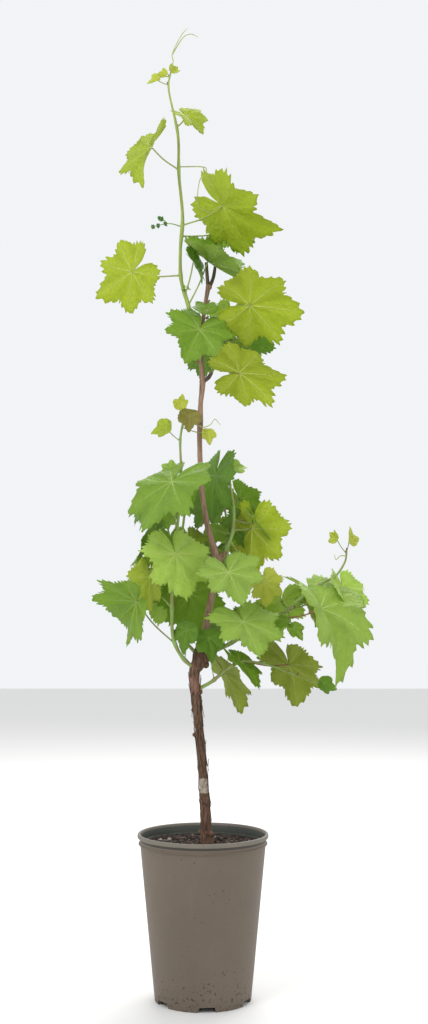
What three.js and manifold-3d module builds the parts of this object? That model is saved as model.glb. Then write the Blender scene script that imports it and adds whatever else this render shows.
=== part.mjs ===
// A young grapevine in a nursery pot, in millimetres.
// +Z is up, +X is right and -Y is towards the viewer. The origin is under the middle of the pot.

import * as THREE from 'three';
import { mergeVertices } from 'three/addons/utils/BufferGeometryUtils.js';
import Module from 'manifold-3d';

const wasm = await Module();
wasm.setup();

// Driving sizes

const GAP = 0.3; // clearance between neighbouring pieces
const TOLERANCE = 0.02; // edges shorter than this are closed up when solids are joined
const UP = new THREE.Vector3(0, 0, 1);
const DEGREE = Math.PI / 180;

const POT = {
  height: 262,
  rimRadius: 105, // outside of the rolled lip
  footRadius: 77,
  wall: 2.2,
  lipHeight: 7,
  neckHeight: 8,
  neckInset: 3.4,
  stepHeight: 2.4,
  stepInset: 1.6,
  shoulderInset: 4.4, // tapered wall just under the step
  ledgeDepth: 15, // faint ledge inside, below the rim
  ledgeWidth: 1.4,
  ledgeHeight: 1,
  baseLift: 9, // hollow under the base, inside the foot ring
  footWidth: 5,
  padRadius: 20, // flat pad under the middle of the base
  footRound: 1.5,
  sides: 30,
};

const NOTCH = { count: 6, width: 30, topWidth: 24, height: 8, below: 1, depth: 16, bearing: 5 };

const COMPOST = {
  below: 18, // level below the rim
  lump: 2.6,
  mound: 5,
  moundAt: [-42, 8],
  moundWidth: 34,
  flatRadius: 32, // kept level round the foot of the trunk
  fadeRadius: 48, // fully lumpy from here outwards
  seed: 41,
  rings: [0.27, 0.45, 0.64, 0.82, 0.94],
  sides: 24,
};

const SOIL = POT.height - COMPOST.below;
const TRUNK_FOOT = [6, 0, SOIL + GAP];

// Woody limbs: the middle line, the radius at each point of it, and how uneven the bark is

const LIMBS = {
  trunk: {
    path: [
      TRUNK_FOOT, [5.4, 0, 258], [3.5, 0, 300], [0, 0, 350], [-4.5, 0, 410], [-10.5, 0, 470],
      [-13.5, 0, 500], [-14, 0, 519], [-8, 0, 533], [-3, 0, 547], [1, 1, 560], [2, 1, 568],
    ],
    radii: [12.5, 9.2, 8.3, 7.4, 7, 6.9, 8, 9, 11.6, 13.2, 12.2, 8.4],
    sides: 12,
    steps: 26,
    rough: 0.07,
    seed: 3,
    levelFoot: true,
  },
  lower_cane: {
    path: [
      [1, 1, 556], [3.5, 2, 580], [7, 2, 606], [16, 4, 651], [22.5, 4, 686], [21, 3, 706],
      [15, 2, 727], [5, 0, 764], [-3, 0, 823], [-5.6, 0, 886], [-5, 0, 921],
    ],
    radii: [7, 6, 5.6, 5.3, 6.6, 7.4, 5.2, 4.6, 4.3, 4.1, 5.1],
    sides: 8,
    steps: 30,
    rough: 0.04,
    seed: 5,
    meets: ['trunk'],
  },
  upper_cane: {
    path: [
      [-5, 0, 921 + GAP], [-4, 0, 955], [-1, 0, 990], [-3, 0, 1022], [-4, 0, 1057], [0, 0, 1095],
      [5, 0, 1128], [9, 0, 1149],
    ],
    radii: [5.1, 3.9, 5, 3.7, 3.9, 3.5, 3.4, 4.6],
    sides: 8,
    steps: 22,
    rough: 0.04,
    seed: 7,
  },
  left_prong: {
    path: [[8, 0, 1146], [6.4, 0, 1165], [5, 0, 1187]],
    radii: [3.4, 2.9, 2.7],
    sides: 8,
    steps: 5,
    rough: 0.05,
    seed: 11,
    meets: ['upper_cane'],
  },
  right_prong: {
    path: [[10, 0, 1146], [16.5, 0, 1162], [20, 0, 1184]],
    radii: [3.3, 2.9, 2.6],
    sides: 8,
    steps: 5,
    rough: 0.05,
    seed: 13,
    meets: ['upper_cane', 'left_prong'],
  },
  leader_stub: {
    path: [[-4, 0, 1046], [-11, -2, 1054], [-15, -4, 1067]],
    radii: [4.2, 3.9, 3.1],
    sides: 8,
    steps: 6,
    rough: 0.08,
    seed: 17,
    meets: ['upper_cane'],
  },
  spur_stub: {
    path: [[-1, 0, 990], [8, -2, 996], [14, -3, 1005]],
    radii: [3.8, 3.4, 2.8],
    sides: 8,
    steps: 6,
    rough: 0.08,
    seed: 19,
    meets: ['upper_cane'],
  },
  middle_spur: {
    path: [[21, 3, 697], [31, 0, 705], [38, -2, 717]],
    radii: [4.6, 3.8, 3],
    sides: 8,
    steps: 6,
    rough: 0.08,
    seed: 23,
    meets: ['lower_cane'],
  },
};

// Half of a vine leaf's outline, from its tip round to the notch at the stalk:
// degrees from the middle vein, and reach as a share of that vein's length
const LEAF_OUTLINE = [
  [0, 1], [14, 0.92], [28, 0.73], [48, 0.91], [71, 0.65], [93, 0.82], [117, 0.63], [149, 0.68], [175, 0.1],
];
const BUD_LEAF_OUTLINE = [[0, 1], [26, 0.64], [50, 0.76], [98, 0.54], [145, 0.44]];

const BLADE = {
  thickness: 1.3,
  middle: 0.22, // point of the middle vein that the faces meet in
  smallSize: 40, // below this a leaf has the plain outline
  wave: 0.07,
  stalkRadius: 1.35,
  smallStalkRadius: 0.95,
  stalkDepth: -0.9, // its middle line there, under the middle of the blade
  stalkSink: 0.035, // how far the stalk runs on under the blade
};

// Shoots. Each has one stem and its leaves. A leaf's row says
//   at: where its stalk leaves the stem, from 0 at the foot to 1 at the tip
//   foot: where stalk and blade meet
//   size: length of the middle vein
//   aim: where its tip points as seen from the front, in degrees clockwise from up
//   turn, tilt: bearing of its upper face, 0 to the front and 90 to the right, and how far it looks up
//   fold, droop: how far the halves close like a book, and how far the tip hangs
// fill makes side twigs, each with two leaves, where the plant is full and no row says more.

const SHOOTS = {
  leader_shoot: {
    path: [
      [-14, -3.6, 1062], [-24, -8, 1112], [-36, -8, 1156], [-37.5, -6, 1205], [-34, -4, 1262],
      [-40, -2, 1332], [-42, 0, 1400], [-57, 0, 1474], [-54, 0, 1504],
    ],
    radii: [3, 2.9, 2.8, 2.6, 2.6, 2.4, 2.2, 1.5, 1.1],
    meets: ['leader_stub'],
    space: [[-190, -115, 1060], [140, 90, 1585]],
    seed: 101,
    leaves: [
      { at: 0.77, foot: [-27, -32, 1420], size: 40, aim: 129, turn: 23, tilt: 45, fold: 0.5, droop: 0.68 },
      { at: 0.64, foot: [-84, -26, 1370], size: 72, aim: 203, turn: -64, tilt: 30, fold: 0.52, droop: 0.36 },
      { at: 0.47, foot: [33, -39, 1270], size: 96, aim: 127, turn: -52, tilt: -38, fold: 0.33, droop: 0.5 },
      { at: 0.27, foot: [-115, -32, 1164], size: 73, aim: 237, turn: 150, tilt: 7, fold: 0.25, droop: 0.25 },
      { at: 0.13, foot: [8, -22, 1184], size: 86, aim: 121, turn: 61, tilt: 52, fold: 0.45, droop: 0 },
      { at: 0.18, foot: [-15, -41, 1178], size: 40, aim: 143, turn: 70, tilt: 22, fold: 0.42, droop: 0.45 },
      { at: 1, foot: [-51, 1, 1506], size: 15, aim: 40, turn: 20, tilt: 20, fold: 0.7, droop: 0.1 },
      { at: 0.96, foot: [-64, 2, 1499], size: 15, aim: 300, turn: -20, tilt: 20, fold: 0.7, droop: 0.1 },
      { at: 0.9, foot: [-76, -4, 1490], size: 18, aim: 262, turn: -20, tilt: 30, fold: 0.6, droop: 0.4 },
      { at: 0.43, foot: [50, 40, 1255], size: 48, aim: 128, turn: 150, tilt: 14, fold: 0.12, droop: 0.2 },
    ],
    tendrils: [
      [[-54, 0, 1502], [-50, 0, 1522], [-51, 0, 1536], [-38, 1, 1564], [-27, 2, 1579]],
      [[-51, 0, 1534], [-43, -3, 1547], [-32, -5, 1562], [-20, -6, 1566], [-9, -6, 1561]],
      [[-40, 0, 1346], [4, -10, 1341], [-6, -14, 1318], [-9, -14, 1281], [5, -18, 1267], [22, -20, 1264]],
    ],
    blossom: { stalk: [[-35, -4, 1245], [-56, -9, 1249], [-82, -12, 1243]], radius: 4, beads: 6 },
  },
  upper_shoot: {
    path: [[12, -2.8, 1002], [24, 6, 1030], [31, 14, 1062], [34, 17, 1094], [34, 16, 1122]],
    radii: [2.7, 2.5, 2.3, 2, 1.5],
    meets: ['spur_stub'],
    space: [[-95, -110, 900], [190, 180, 1190]],
    seed: 202,
    leaves: [
      { at: 0.8, foot: [75, -46, 1106], size: 86, aim: 96, turn: 168, tilt: 40, fold: 0.06, droop: 0.3 },
      { at: 0.12, foot: [-6, -36, 1069], size: 69, aim: 201, turn: 16, tilt: 34, fold: 0.31, droop: 0.29 },
      { at: 0.3, foot: [6, -22, 1102], size: 34, aim: 322, turn: 8, tilt: 46, fold: 0.3, droop: 0.2 },
      { at: 0.5, foot: [76, 46, 1066], size: 46, aim: 108, turn: -14, tilt: 22, fold: 0.1, droop: 0.2 },
      { at: 0.14, foot: [59, -42, 998], size: 79, aim: 93, turn: 155, tilt: 48, fold: 0.03, droop: 0.46 },
    ],
    tendrils: [],
    fill: { count: 2, from: 0.3, to: 0.75, bearing: 158, spread: 24, reach: 44, rise: 8, size: 50 },
  },
  left_shoot: {
    path: [
      [-14, -2, 524], [-35, -10, 545], [-48, -18, 575], [-50, -18, 619], [-48, -12, 680],
      [-43, -10, 740], [-37, -10, 800], [-36, -10, 850], [-37, -10, 895], [-30, -10, 936],
    ],
    radii: [3.2, 2.9, 2.8, 2.7, 2.6, 2.4, 2.2, 2, 1.7, 1.2],
    meets: ['trunk'],
    space: [[-190, -150, 500], [45, 90, 980]],
    seed: 303,
    leaves: [
      { at: 0.19, foot: [-108, -13, 632], size: 71, aim: 226, turn: -47, tilt: -23, fold: 0.73, droop: 0.02 },
      { at: 0.08, foot: [-24, -23, 587], size: 38, aim: 196, turn: -30, tilt: 14, fold: 0.3, droop: 0.3 },
      { at: 0.4, foot: [-44, -42, 708], size: 77, aim: 163, turn: 29, tilt: 28, fold: 0.15, droop: 0.39 },
      { at: 0.34, foot: [-88, 35, 672], size: 59, aim: 182, turn: -47, tilt: 1, fold: 0.29, droop: 0.24 },
      { at: 0.56, foot: [-49, -57, 822], size: 97, aim: 217, turn: -42, tilt: 46, fold: 0.16, droop: 0.61 },
      { at: 0.76, foot: [-52, -8, 846], size: 22, aim: 300, turn: -20, tilt: 30, fold: 0.3, droop: 0.2 },
      { at: 1, foot: [-36, -13, 948], size: 20, aim: 8, turn: -10, tilt: 10, fold: 0.6, droop: 0.1 },
      { at: 0.96, foot: [-23, -22, 932], size: 30, aim: 180, turn: 10, tilt: 20, fold: 0.45, droop: 0.2 },
      { at: 0.88, foot: [-60, -8, 914], size: 28, aim: 256, turn: -24, tilt: 26, fold: 0.3, droop: 0.3 },
      { at: 0.94, foot: [7, -18, 904], size: 20, aim: 168, turn: 20, tilt: 16, fold: 0.5, droop: 0.2 },
    ],
    tendrils: [[[-31, -10, 928], [-2, -18, 914], [12, -17, 918], [19, -14, 927], [28, -10, 918]]],
    fill: { count: 1, from: 0.5, to: 0.5, bearing: 205, spread: 20, reach: 44, rise: 10, size: 64 },
  },
  middle_shoot: {
    path: [[36.6, -1.6, 714], [48, -3, 744], [50, 8, 780], [45, 15, 815], [42, 18, 846]],
    radii: [2.7, 2.6, 2.4, 2.1, 1.6],
    meets: ['middle_spur'],
    space: [[-40, -120, 590], [170, 150, 900]],
    seed: 404,
    leaves: [
      { at: 0.72, foot: [20, 46, 840], size: 78, aim: 194, turn: -62, tilt: 13, fold: 0.16, droop: 0.62 },
      { at: 1, foot: [50, 18, 850], size: 26, aim: 80, turn: 10, tilt: 44, fold: 0.3, droop: 0.2 },
      { at: 0.28, foot: [79, 4, 751], size: 77, aim: 182, turn: 140, tilt: -1, fold: 0.38, droop: 0.09 },
      { at: 0.24, foot: [22, 32, 748], size: 30, aim: 204, turn: 0, tilt: 20, fold: 0.2, droop: 0.2 },
      { at: 0.3, foot: [60, 22, 740], size: 26, aim: 150, turn: 30, tilt: 20, fold: 0.3, droop: 0.2 },
      { at: 0.06, foot: [41, -65, 679], size: 64, aim: 154, turn: 4, tilt: 44, fold: 0.3, droop: 0.25 },
      { at: 0.14, foot: [98, -12, 664], size: 40, aim: 171, turn: 25, tilt: 11, fold: 0.29, droop: 0.27 },
    ],
    tendrils: [],
    fill: { count: 1, from: 0.4, to: 0.4, bearing: 110, spread: 20, reach: 36, rise: -14, size: 50 },
  },
  right_shoot: {
    path: [
      [4, 6, 545], [40, 10, 562], [85, 4, 588], [128, -2, 612], [156, -6, 637],
      [190, -4, 661], [214, 0, 673], [230, 4, 696], [233, 4, 714],
    ],
    radii: [3.2, 3, 2.8, 2.6, 2.4, 2.2, 2, 1.6, 1.2],
    meets: ['trunk'],
    space: [[-10, -140, 460], [285, 150, 780]],
    seed: 505,
    leaves: [
      { at: 0.14, foot: [63, -72, 601], size: 75, aim: 151, turn: 18, tilt: 52, fold: 0.24, droop: 0.26 },
      { at: 0.37, foot: [127, -20, 604], size: 22, aim: 206, turn: 0, tilt: 30, fold: 0.3, droop: 0.2 },
      { at: 0.41, foot: [144, -22, 590], size: 24, aim: 138, turn: 20, tilt: 30, fold: 0.3, droop: 0.2 },
      { at: 0.34, foot: [188, -39, 621], size: 112, aim: 149, turn: 52, tilt: 38, fold: 0.73, droop: 0.92 },
      { at: 0.72, foot: [227, 22, 655], size: 54, aim: 162, turn: 52, tilt: 29, fold: 0.39, droop: 0.09 },
      { at: 0.97, foot: [216, 2, 734], size: 18, aim: 320, turn: -50, tilt: 10, fold: 0.6, droop: 0.1 },
      { at: 1, foot: [238, 6, 732], size: 26, aim: 8, turn: 56, tilt: 10, fold: 0.5, droop: 0.1 },
    ],
    tendrils: [[[232, 4, 706], [222, -4, 706], [215, -6, 700], [212, -6, 708]]],
    fill: { count: 2, from: 0.2, to: 0.4, bearing: 172, spread: 20, reach: 50, rise: 6, size: 52 },
  },
  low_shoot: {
    path: [
      [-8, 3, 491], [14, 6, 503], [31, 6, 517], [48, 2, 529], [68, -2, 536], [108, -12, 530], [150, -16, 514],
    ],
    radii: [3.1, 2.9, 2.7, 2.5, 2.2, 1.7, 1.2],
    meets: ['trunk'],
    space: [[-30, -110, 400], [260, 110, 640]],
    seed: 606,
    leaves: [
      { at: 0.3, foot: [35, 43, 515], size: 70, aim: 147, turn: 113, tilt: 34, fold: 0.21, droop: 0.37 },
      { at: 0.5, foot: [59, -8, 535], size: 52, aim: 134, turn: 68, tilt: 48, fold: 0.25, droop: 0.37 },
      { at: 0.66, foot: [139, 16, 530], size: 74, aim: 160, turn: 142, tilt: 34, fold: 0.2, droop: 0.24 },
      { at: 0.2, foot: [8, -20, 574], size: 39, aim: 168, turn: 20, tilt: 12, fold: 0.3, droop: 0.3 },
      { at: 1, foot: [192, -22, 501], size: 24, aim: 112, turn: 20, tilt: 20, fold: 0.3, droop: 0.2 },
    ],
    tendrils: [],
  },
  back_left_shoot: {
    path: [[-9, 7, 545], [-34, 46, 576], [-46, 84, 636], [-42, 104, 706], [-32, 112, 786], [-28, 110, 842]],
    radii: [3.1, 2.9, 2.7, 2.4, 2, 1.4],
    meets: ['trunk'],
    space: [[-160, 30, 500], [40, 230, 900]],
    seed: 717,
    leaves: [
      { at: 0.2, foot: [-24, 77, 645.5], size: 72, aim: 160, turn: 4, tilt: 20, fold: 0.1, droop: 0.2 },
    ],
    tendrils: [],
    fill: { count: 3, from: 0.36, to: 0.86, bearing: 208, spread: 34, reach: 50, rise: 6, size: 62 },
  },
  back_right_shoot: {
    path: [[16.5, 8, 655], [30, 46, 680], [38, 78, 724], [38, 92, 772], [30, 98, 816]],
    radii: [2.9, 2.7, 2.4, 2, 1.4],
    meets: ['lower_cane'],
    space: [[-60, 30, 600], [190, 230, 960]],
    seed: 808,
    leaves: [],
    tendrils: [],
    fill: { count: 3, from: 0.3, to: 0.86, bearing: 152, spread: 30, reach: 50, rise: 2, size: 60 },
  },
};

const STEM = { sides: 5, stepsPerPoint: 2 };
const STALK = { sides: 3, steps: 3, bendAt: 0.55, bend: 0.06 };
const TENDRIL = { sides: 3, footRadius: 1.08, tipRadius: 0.63, stepsPerPoint: 2 };

// Beads sit to either side of the stalk, over the outer part of it
const BLOSSOM = {
  stalkRadius: 1.17,
  stalkSides: 4,
  stalkSteps: 5,
  outer: 0.45,
  turn: 2.4,
  aside: 0.8,
  vary: [0.8, 1.2],
};

// A side twig: ranges are [least, most], and angles are in degrees
const TWIG = {
  radius: 1.7,
  sides: 4,
  steps: 3,
  sag: 0.05,
  leavesAt: [0.55, 1],
  heading: [0.7, 1], // share of the row's spread
  length: [0.527, 0.713], // share of the row's reach
  lift: [0, 8],
  swing: [34, 48], // of a leaf, away from the twig
  climb: [10, 26],
  stalk: [0.576, 0.864], // share of the row's reach
  size: [0.86, 1.16],
  aimSwing: 40,
  aim: [168, 192],
  tilt: [24, 42],
  fold: [0.08, 0.16],
  droop: [0.16, 0.3],
};

const FINISHES = {
  pot: { color: 0x766a5c, roughness: 0.55 },
  compost: { color: 0x3b2b22, roughness: 0.95 },
  trunk: { color: 0x5c4638, roughness: 0.9 },
  cane: { color: 0x94705f, roughness: 0.8 },
  foliage: { color: 0x6f9e45, roughness: 0.6 },
  leader: { color: 0x84b054, roughness: 0.6 },
};

// Small helpers

const vector = ([x, y, z]) => new THREE.Vector3(x, y, z);

function randomFrom(seed) {
  let state = seed >>> 0;
  return () => {
    state = (state + 0x6d2b79f5) >>> 0;
    let mixed = Math.imul(state ^ (state >>> 15), state | 1);
    mixed ^= mixed + Math.imul(mixed ^ (mixed >>> 7), mixed | 61);
    return ((mixed ^ (mixed >>> 14)) >>> 0) / 4294967296;
  };
}

const between = (next, [least, most]) => least + (most - least) * next();

// Direction at a bearing, 0 to the front and 90 to the right, and an angle above level
function towards(bearing, climb) {
  const level = Math.cos(climb * DEGREE);
  return new THREE.Vector3(
    Math.sin(bearing * DEGREE) * level,
    -Math.cos(bearing * DEGREE) * level,
    Math.sin(climb * DEGREE),
  );
}

function curveThrough(points) {
  return new THREE.CatmullRomCurve3(points.map(vector), false, 'catmullrom', 0.5);
}

// The radius at a share of a path, read between its points
function radiusAlong(radii, share) {
  const place = share * (radii.length - 1);
  const index = Math.min(Math.floor(place), radii.length - 2);
  return THREE.MathUtils.lerp(radii[index], radii[index + 1], place - index);
}

// Closed surface from a first pole, through rings of equal length, to a last pole
function closedSurface(firstPole, rings, lastPole) {
  const count = rings[0].length;
  const points = [firstPole, ...rings.flat(), lastPole];
  const last = points.length - 1;
  const faces = [];
  for (let k = 0; k < count; k += 1) {
    const next = (k + 1) % count;
    faces.push(0, 1 + next, 1 + k);
    for (let ring = 0; ring < rings.length - 1; ring += 1) {
      const here = 1 + ring * count;
      const beyond = here + count;
      faces.push(here + k, here + next, beyond + next);
      faces.push(here + k, beyond + next, beyond + k);
    }
    const edge = last - count;
    faces.push(last, edge + k, edge + next);
  }
  const geometry = new THREE.BufferGeometry();
  geometry.setAttribute('position', new THREE.Float32BufferAttribute(points.flatMap((p) => p.toArray()), 3));
  geometry.setIndex(faces);
  return geometry;
}

function toSolid(geometry) {
  const vertProperties = Float32Array.from(geometry.getAttribute('position').array);
  const triVerts = Uint32Array.from(geometry.getIndex().array);
  return new wasm.Manifold(new wasm.Mesh({ numProp: 3, vertProperties, triVerts, tolerance: TOLERANCE }));
}

function toGeometry(solid) {
  const { vertProperties, triVerts } = solid.getMesh();
  const geometry = new THREE.BufferGeometry();
  geometry.setAttribute('position', new THREE.BufferAttribute(Float32Array.from(vertProperties), 3));
  geometry.setIndex(new THREE.BufferAttribute(Uint32Array.from(triVerts), 1));
  geometry.computeVertexNormals();
  return geometry;
}

const joined = (solids) => solids.reduce((whole, piece) => whole.add(piece));

// The main body of a solid, without loose scraps or sealed hollows
function mainBody(solid) {
  return solid.decompose().reduce((best, piece) => (piece.volume() > best.volume() ? piece : best));
}

// Tube round a curve, with a radius for each share of its length.
// Its rings turn as little as they can, and uneven bark comes from a seeded draw.
function tube(curve, radiusAt, { sides, steps, rough = 0, seed = 1, levelFoot = false }) {
  const next = randomFrom(seed);
  const rings = [];
  const centres = [];
  let across = new THREE.Vector3();
  for (let step = 0; step <= steps; step += 1) {
    const share = step / steps;
    const centre = curve.getPoint(share);
    const along = levelFoot && step === 0 ? UP.clone() : curve.getTangent(share);
    if (step === 0) {
      across = Math.abs(along.x) < 0.9 ? new THREE.Vector3(1, 0, 0) : new THREE.Vector3(0, 1, 0);
    }
    across.addScaledVector(along, -across.dot(along)).normalize();
    const beside = new THREE.Vector3().crossVectors(along, across);
    const ring = [];
    for (let side = 0; side < sides; side += 1) {
      const angle = (side / sides) * Math.PI * 2;
      const radius = radiusAt(share) * (1 + rough * (2 * next() - 1));
      ring.push(
        centre
          .clone()
          .addScaledVector(across, radius * Math.cos(angle))
          .addScaledVector(beside, radius * Math.sin(angle)),
      );
    }
    rings.push(ring);
    centres.push(centre);
  }
  return closedSurface(centres[0], rings, centres[steps]);
}

// Pot, compost and woody limbs

function turnedSurface(profile, sides) {
  const rings = profile.map(([radius, z]) =>
    Array.from({ length: sides }, (_, side) => {
      const angle = (side / sides) * Math.PI * 2;
      return new THREE.Vector3(radius * Math.cos(angle), radius * Math.sin(angle), z);
    }),
  );
  const first = new THREE.Vector3(0, 0, profile[0][1]);
  const last = new THREE.Vector3(0, 0, profile[profile.length - 1][1]);
  return closedSurface(first, rings, last);
}

// Outer radius of the pot's tapered wall at a height
function wallRadius(z) {
  const top = POT.height - POT.lipHeight - POT.neckHeight - POT.stepHeight;
  return THREE.MathUtils.lerp(POT.footRadius, POT.rimRadius - POT.shoulderInset, z / top);
}

function potProfile() {
  const { height, rimRadius, wall, footWidth, footRound, baseLift, padRadius } = POT;
  const lip = height - POT.lipHeight;
  const neck = lip - POT.neckHeight;
  const step = neck - POT.stepHeight;
  const ledge = height - POT.ledgeDepth;
  const neckRadius = rimRadius - POT.neckInset;
  const floor = baseLift + wall;
  return [
    [padRadius, 0],
    [padRadius + footRound, baseLift],
    [POT.footRadius - footWidth - footRound, baseLift],
    [POT.footRadius - footWidth, 0],
    [POT.footRadius - footRound, 0],
    [POT.footRadius, footRound],
    [wallRadius(step), step],
    [rimRadius - POT.stepInset, step + footRound / 2],
    [rimRadius - POT.stepInset, neck],
    [neckRadius, neck + footRound / 2],
    [neckRadius, lip],
    [rimRadius, lip + footRound],
    [rimRadius, height - footRound],
    [rimRadius - footRound, height],
    [rimRadius - 2 * footRound, height],
    [neckRadius - wall, height - footRound],
    [neckRadius - wall, ledge],
    [neckRadius - wall - POT.ledgeWidth, ledge - POT.ledgeHeight],
    [wallRadius(floor) - wall, floor],
  ];
}

// Drainage notch through the foot ring, narrower at its top
function notchSolid(bearing) {
  const { width, topWidth, height, below, depth } = NOTCH;
  const shape = new THREE.Shape();
  shape.moveTo(-width / 2, -below);
  shape.lineTo(width / 2, -below);
  shape.lineTo(topWidth / 2, height);
  shape.lineTo(-topWidth / 2, height);
  shape.closePath();
  const block = new THREE.ExtrudeGeometry(shape, { depth, bevelEnabled: false });
  block.rotateX(Math.PI / 2);
  block.translate(0, depth / 2 - POT.footRadius + POT.footWidth / 2, 0);
  block.rotateZ(bearing * DEGREE);
  block.deleteAttribute('normal');
  block.deleteAttribute('uv');
  return toSolid(mergeVertices(block));
}

function potGeometry() {
  let solid = toSolid(turnedSurface(potProfile(), POT.sides));
  for (let k = 0; k < NOTCH.count; k += 1) {
    solid = solid.subtract(notchSolid(NOTCH.bearing + (k * 360) / NOTCH.count));
  }
  return toGeometry(solid);
}

// Height of the compost over its level, flat where the trunk stands
function compostLump(x, y, next) {
  const fromFoot = Math.hypot(x - TRUNK_FOOT[0], y - TRUNK_FOOT[1]);
  const fade = THREE.MathUtils.smoothstep(fromFoot, COMPOST.flatRadius, COMPOST.fadeRadius);
  const fromMound = Math.hypot(x - COMPOST.moundAt[0], y - COMPOST.moundAt[1]) / COMPOST.moundWidth;
  const mound = COMPOST.mound * Math.exp(-fromMound * fromMound);
  return fade * (mound + COMPOST.lump * (2 * next() - 1));
}

function compostGeometry() {
  const next = randomFrom(COMPOST.seed);
  const inside = (z) => wallRadius(z) - POT.wall - POT.ledgeWidth - GAP;
  const floor = POT.baseLift + POT.wall + GAP;
  const level = (radius, heightAt) =>
    Array.from({ length: COMPOST.sides }, (_, side) => {
      const angle = (side / COMPOST.sides) * Math.PI * 2;
      const x = radius * Math.cos(angle);
      const y = radius * Math.sin(angle);
      return new THREE.Vector3(x, y, heightAt(x, y));
    });
  const rings = [level(inside(floor), () => floor), level(inside(SOIL), () => SOIL - COMPOST.lump)];
  for (const share of [...COMPOST.rings].reverse()) {
    rings.push(level(inside(SOIL) * share, (x, y) => SOIL + compostLump(x, y, next)));
  }
  const bottom = new THREE.Vector3(0, 0, floor);
  const top = new THREE.Vector3(0, 0, SOIL);
  return closedSurface(bottom, rings, top);
}

// A limb as a solid. extra makes it thicker all over, to cut a clearance in what meets it.
function limbSolid(name, extra = 0) {
  const { path, radii, ...shape } = LIMBS[name];
  return toSolid(tube(curveThrough(path), (share) => radiusAlong(radii, share) + extra, shape));
}

function clearOf(solid, names) {
  return names.reduce((rest, name) => rest.subtract(limbSolid(name, GAP)), solid);
}

// Blades

function outlineRadius(outline, angle) {
  const turned = Math.abs(angle);
  const index = outline.findIndex(([limit]) => limit >= turned);
  if (index <= 0) return outline[0][1];
  const [start, low] = outline[index - 1];
  const [end, high] = outline[index];
  return THREE.MathUtils.lerp(low, high, (turned - start) / (end - start));
}

// The directions of a blade: its tip, its upper face, and across it to the right
function bladeFrame({ aim, turn, tilt }) {
  const face = towards(turn, tilt);
  const tip = new THREE.Vector3(Math.sin(aim * DEGREE), 0, Math.cos(aim * DEGREE));
  tip.y = -tip.dot(face) / face.y;
  tip.normalize();
  return { face, tip, across: new THREE.Vector3().crossVectors(tip, face) };
}

// A point of a blade, at a share of its outline's reach
function bladePoint(leaf, angle, share, offset) {
  const { frame, foot, size, fold, droop, phase } = leaf;
  const reach = size * outlineRadius(leaf.outline, angle) * share;
  const across = reach * Math.sin(angle * DEGREE);
  const along = reach * Math.cos(angle * DEGREE);
  const ratio = reach / size;
  const wave = BLADE.wave * size * ratio * ratio * Math.sin(4 * angle * DEGREE + phase);
  const bend = (droop * ratio * ratio * size) / 2;
  const height = fold * Math.abs(across) - bend + wave + offset;
  return foot
    .clone()
    .addScaledVector(frame.across, across)
    .addScaledVector(frame.tip, along)
    .addScaledVector(frame.face, height);
}

function outlineAngles(outline) {
  const half = outline.map(([angle]) => angle).slice(1);
  return [...half.map((angle) => -angle).reverse(), 0, ...half];
}

function bladeSolid(leaf) {
  const angles = outlineAngles(leaf.outline);
  const half = BLADE.thickness / 2;
  const ring = (offset) => angles.map((angle) => bladePoint(leaf, angle, 1, offset));
  const middle = leaf.size < BLADE.smallSize ? 0 : BLADE.middle;
  const upper = bladePoint(leaf, 0, middle, half);
  const lower = bladePoint(leaf, 0, middle, -half);
  return toSolid(closedSurface(upper, [ring(half), ring(-half)], lower));
}

// The stalk rises from its stem, bends, and runs on a little under the blade
function stalkSolid(leaf) {
  const { from, foot, frame, size } = leaf;
  const radius = size < BLADE.smallSize ? BLADE.smallStalkRadius : BLADE.stalkRadius;
  const bend = from.clone().lerp(foot, STALK.bendAt).addScaledVector(UP, -STALK.bend * from.distanceTo(foot));
  const seat = foot.clone().addScaledVector(frame.face, BLADE.stalkDepth);
  const end = seat.clone().addScaledVector(frame.tip, size * BLADE.stalkSink);
  const points = [from, bend, seat, end].map((p) => p.toArray());
  return toSolid(tube(curveThrough(points), () => radius, STALK));
}

function makeLeaf(row, from, next) {
  const outline = row.size < BLADE.smallSize ? BUD_LEAF_OUTLINE : LEAF_OUTLINE;
  const phase = next() * Math.PI * 2;
  return { ...row, from, foot: vector(row.foot), frame: bladeFrame(row), outline, phase };
}

// True where the whole blade is inside the shoot's own space and off every limb
function keepsClear(leaf, space) {
  const [low, high] = space;
  const points = outlineAngles(leaf.outline).map((angle) => bladePoint(leaf, angle, 1, 0));
  const inside = points.every(({ x, y, z }) =>
    [x, y, z].every((value, axis) => value > low[axis] && value < high[axis]),
  );
  const offLimbs = Object.values(LIMBS).every(({ path, radii, steps }) => {
    const curve = curveThrough(path);
    return Array.from({ length: steps + 1 }, (_, step) => step / steps).every((share) => {
      const centre = curve.getPoint(share);
      return points.every((point) => point.distanceTo(centre) > radiusAlong(radii, share) + GAP);
    });
  });
  return inside && offLimbs;
}

// Shoots

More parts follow.
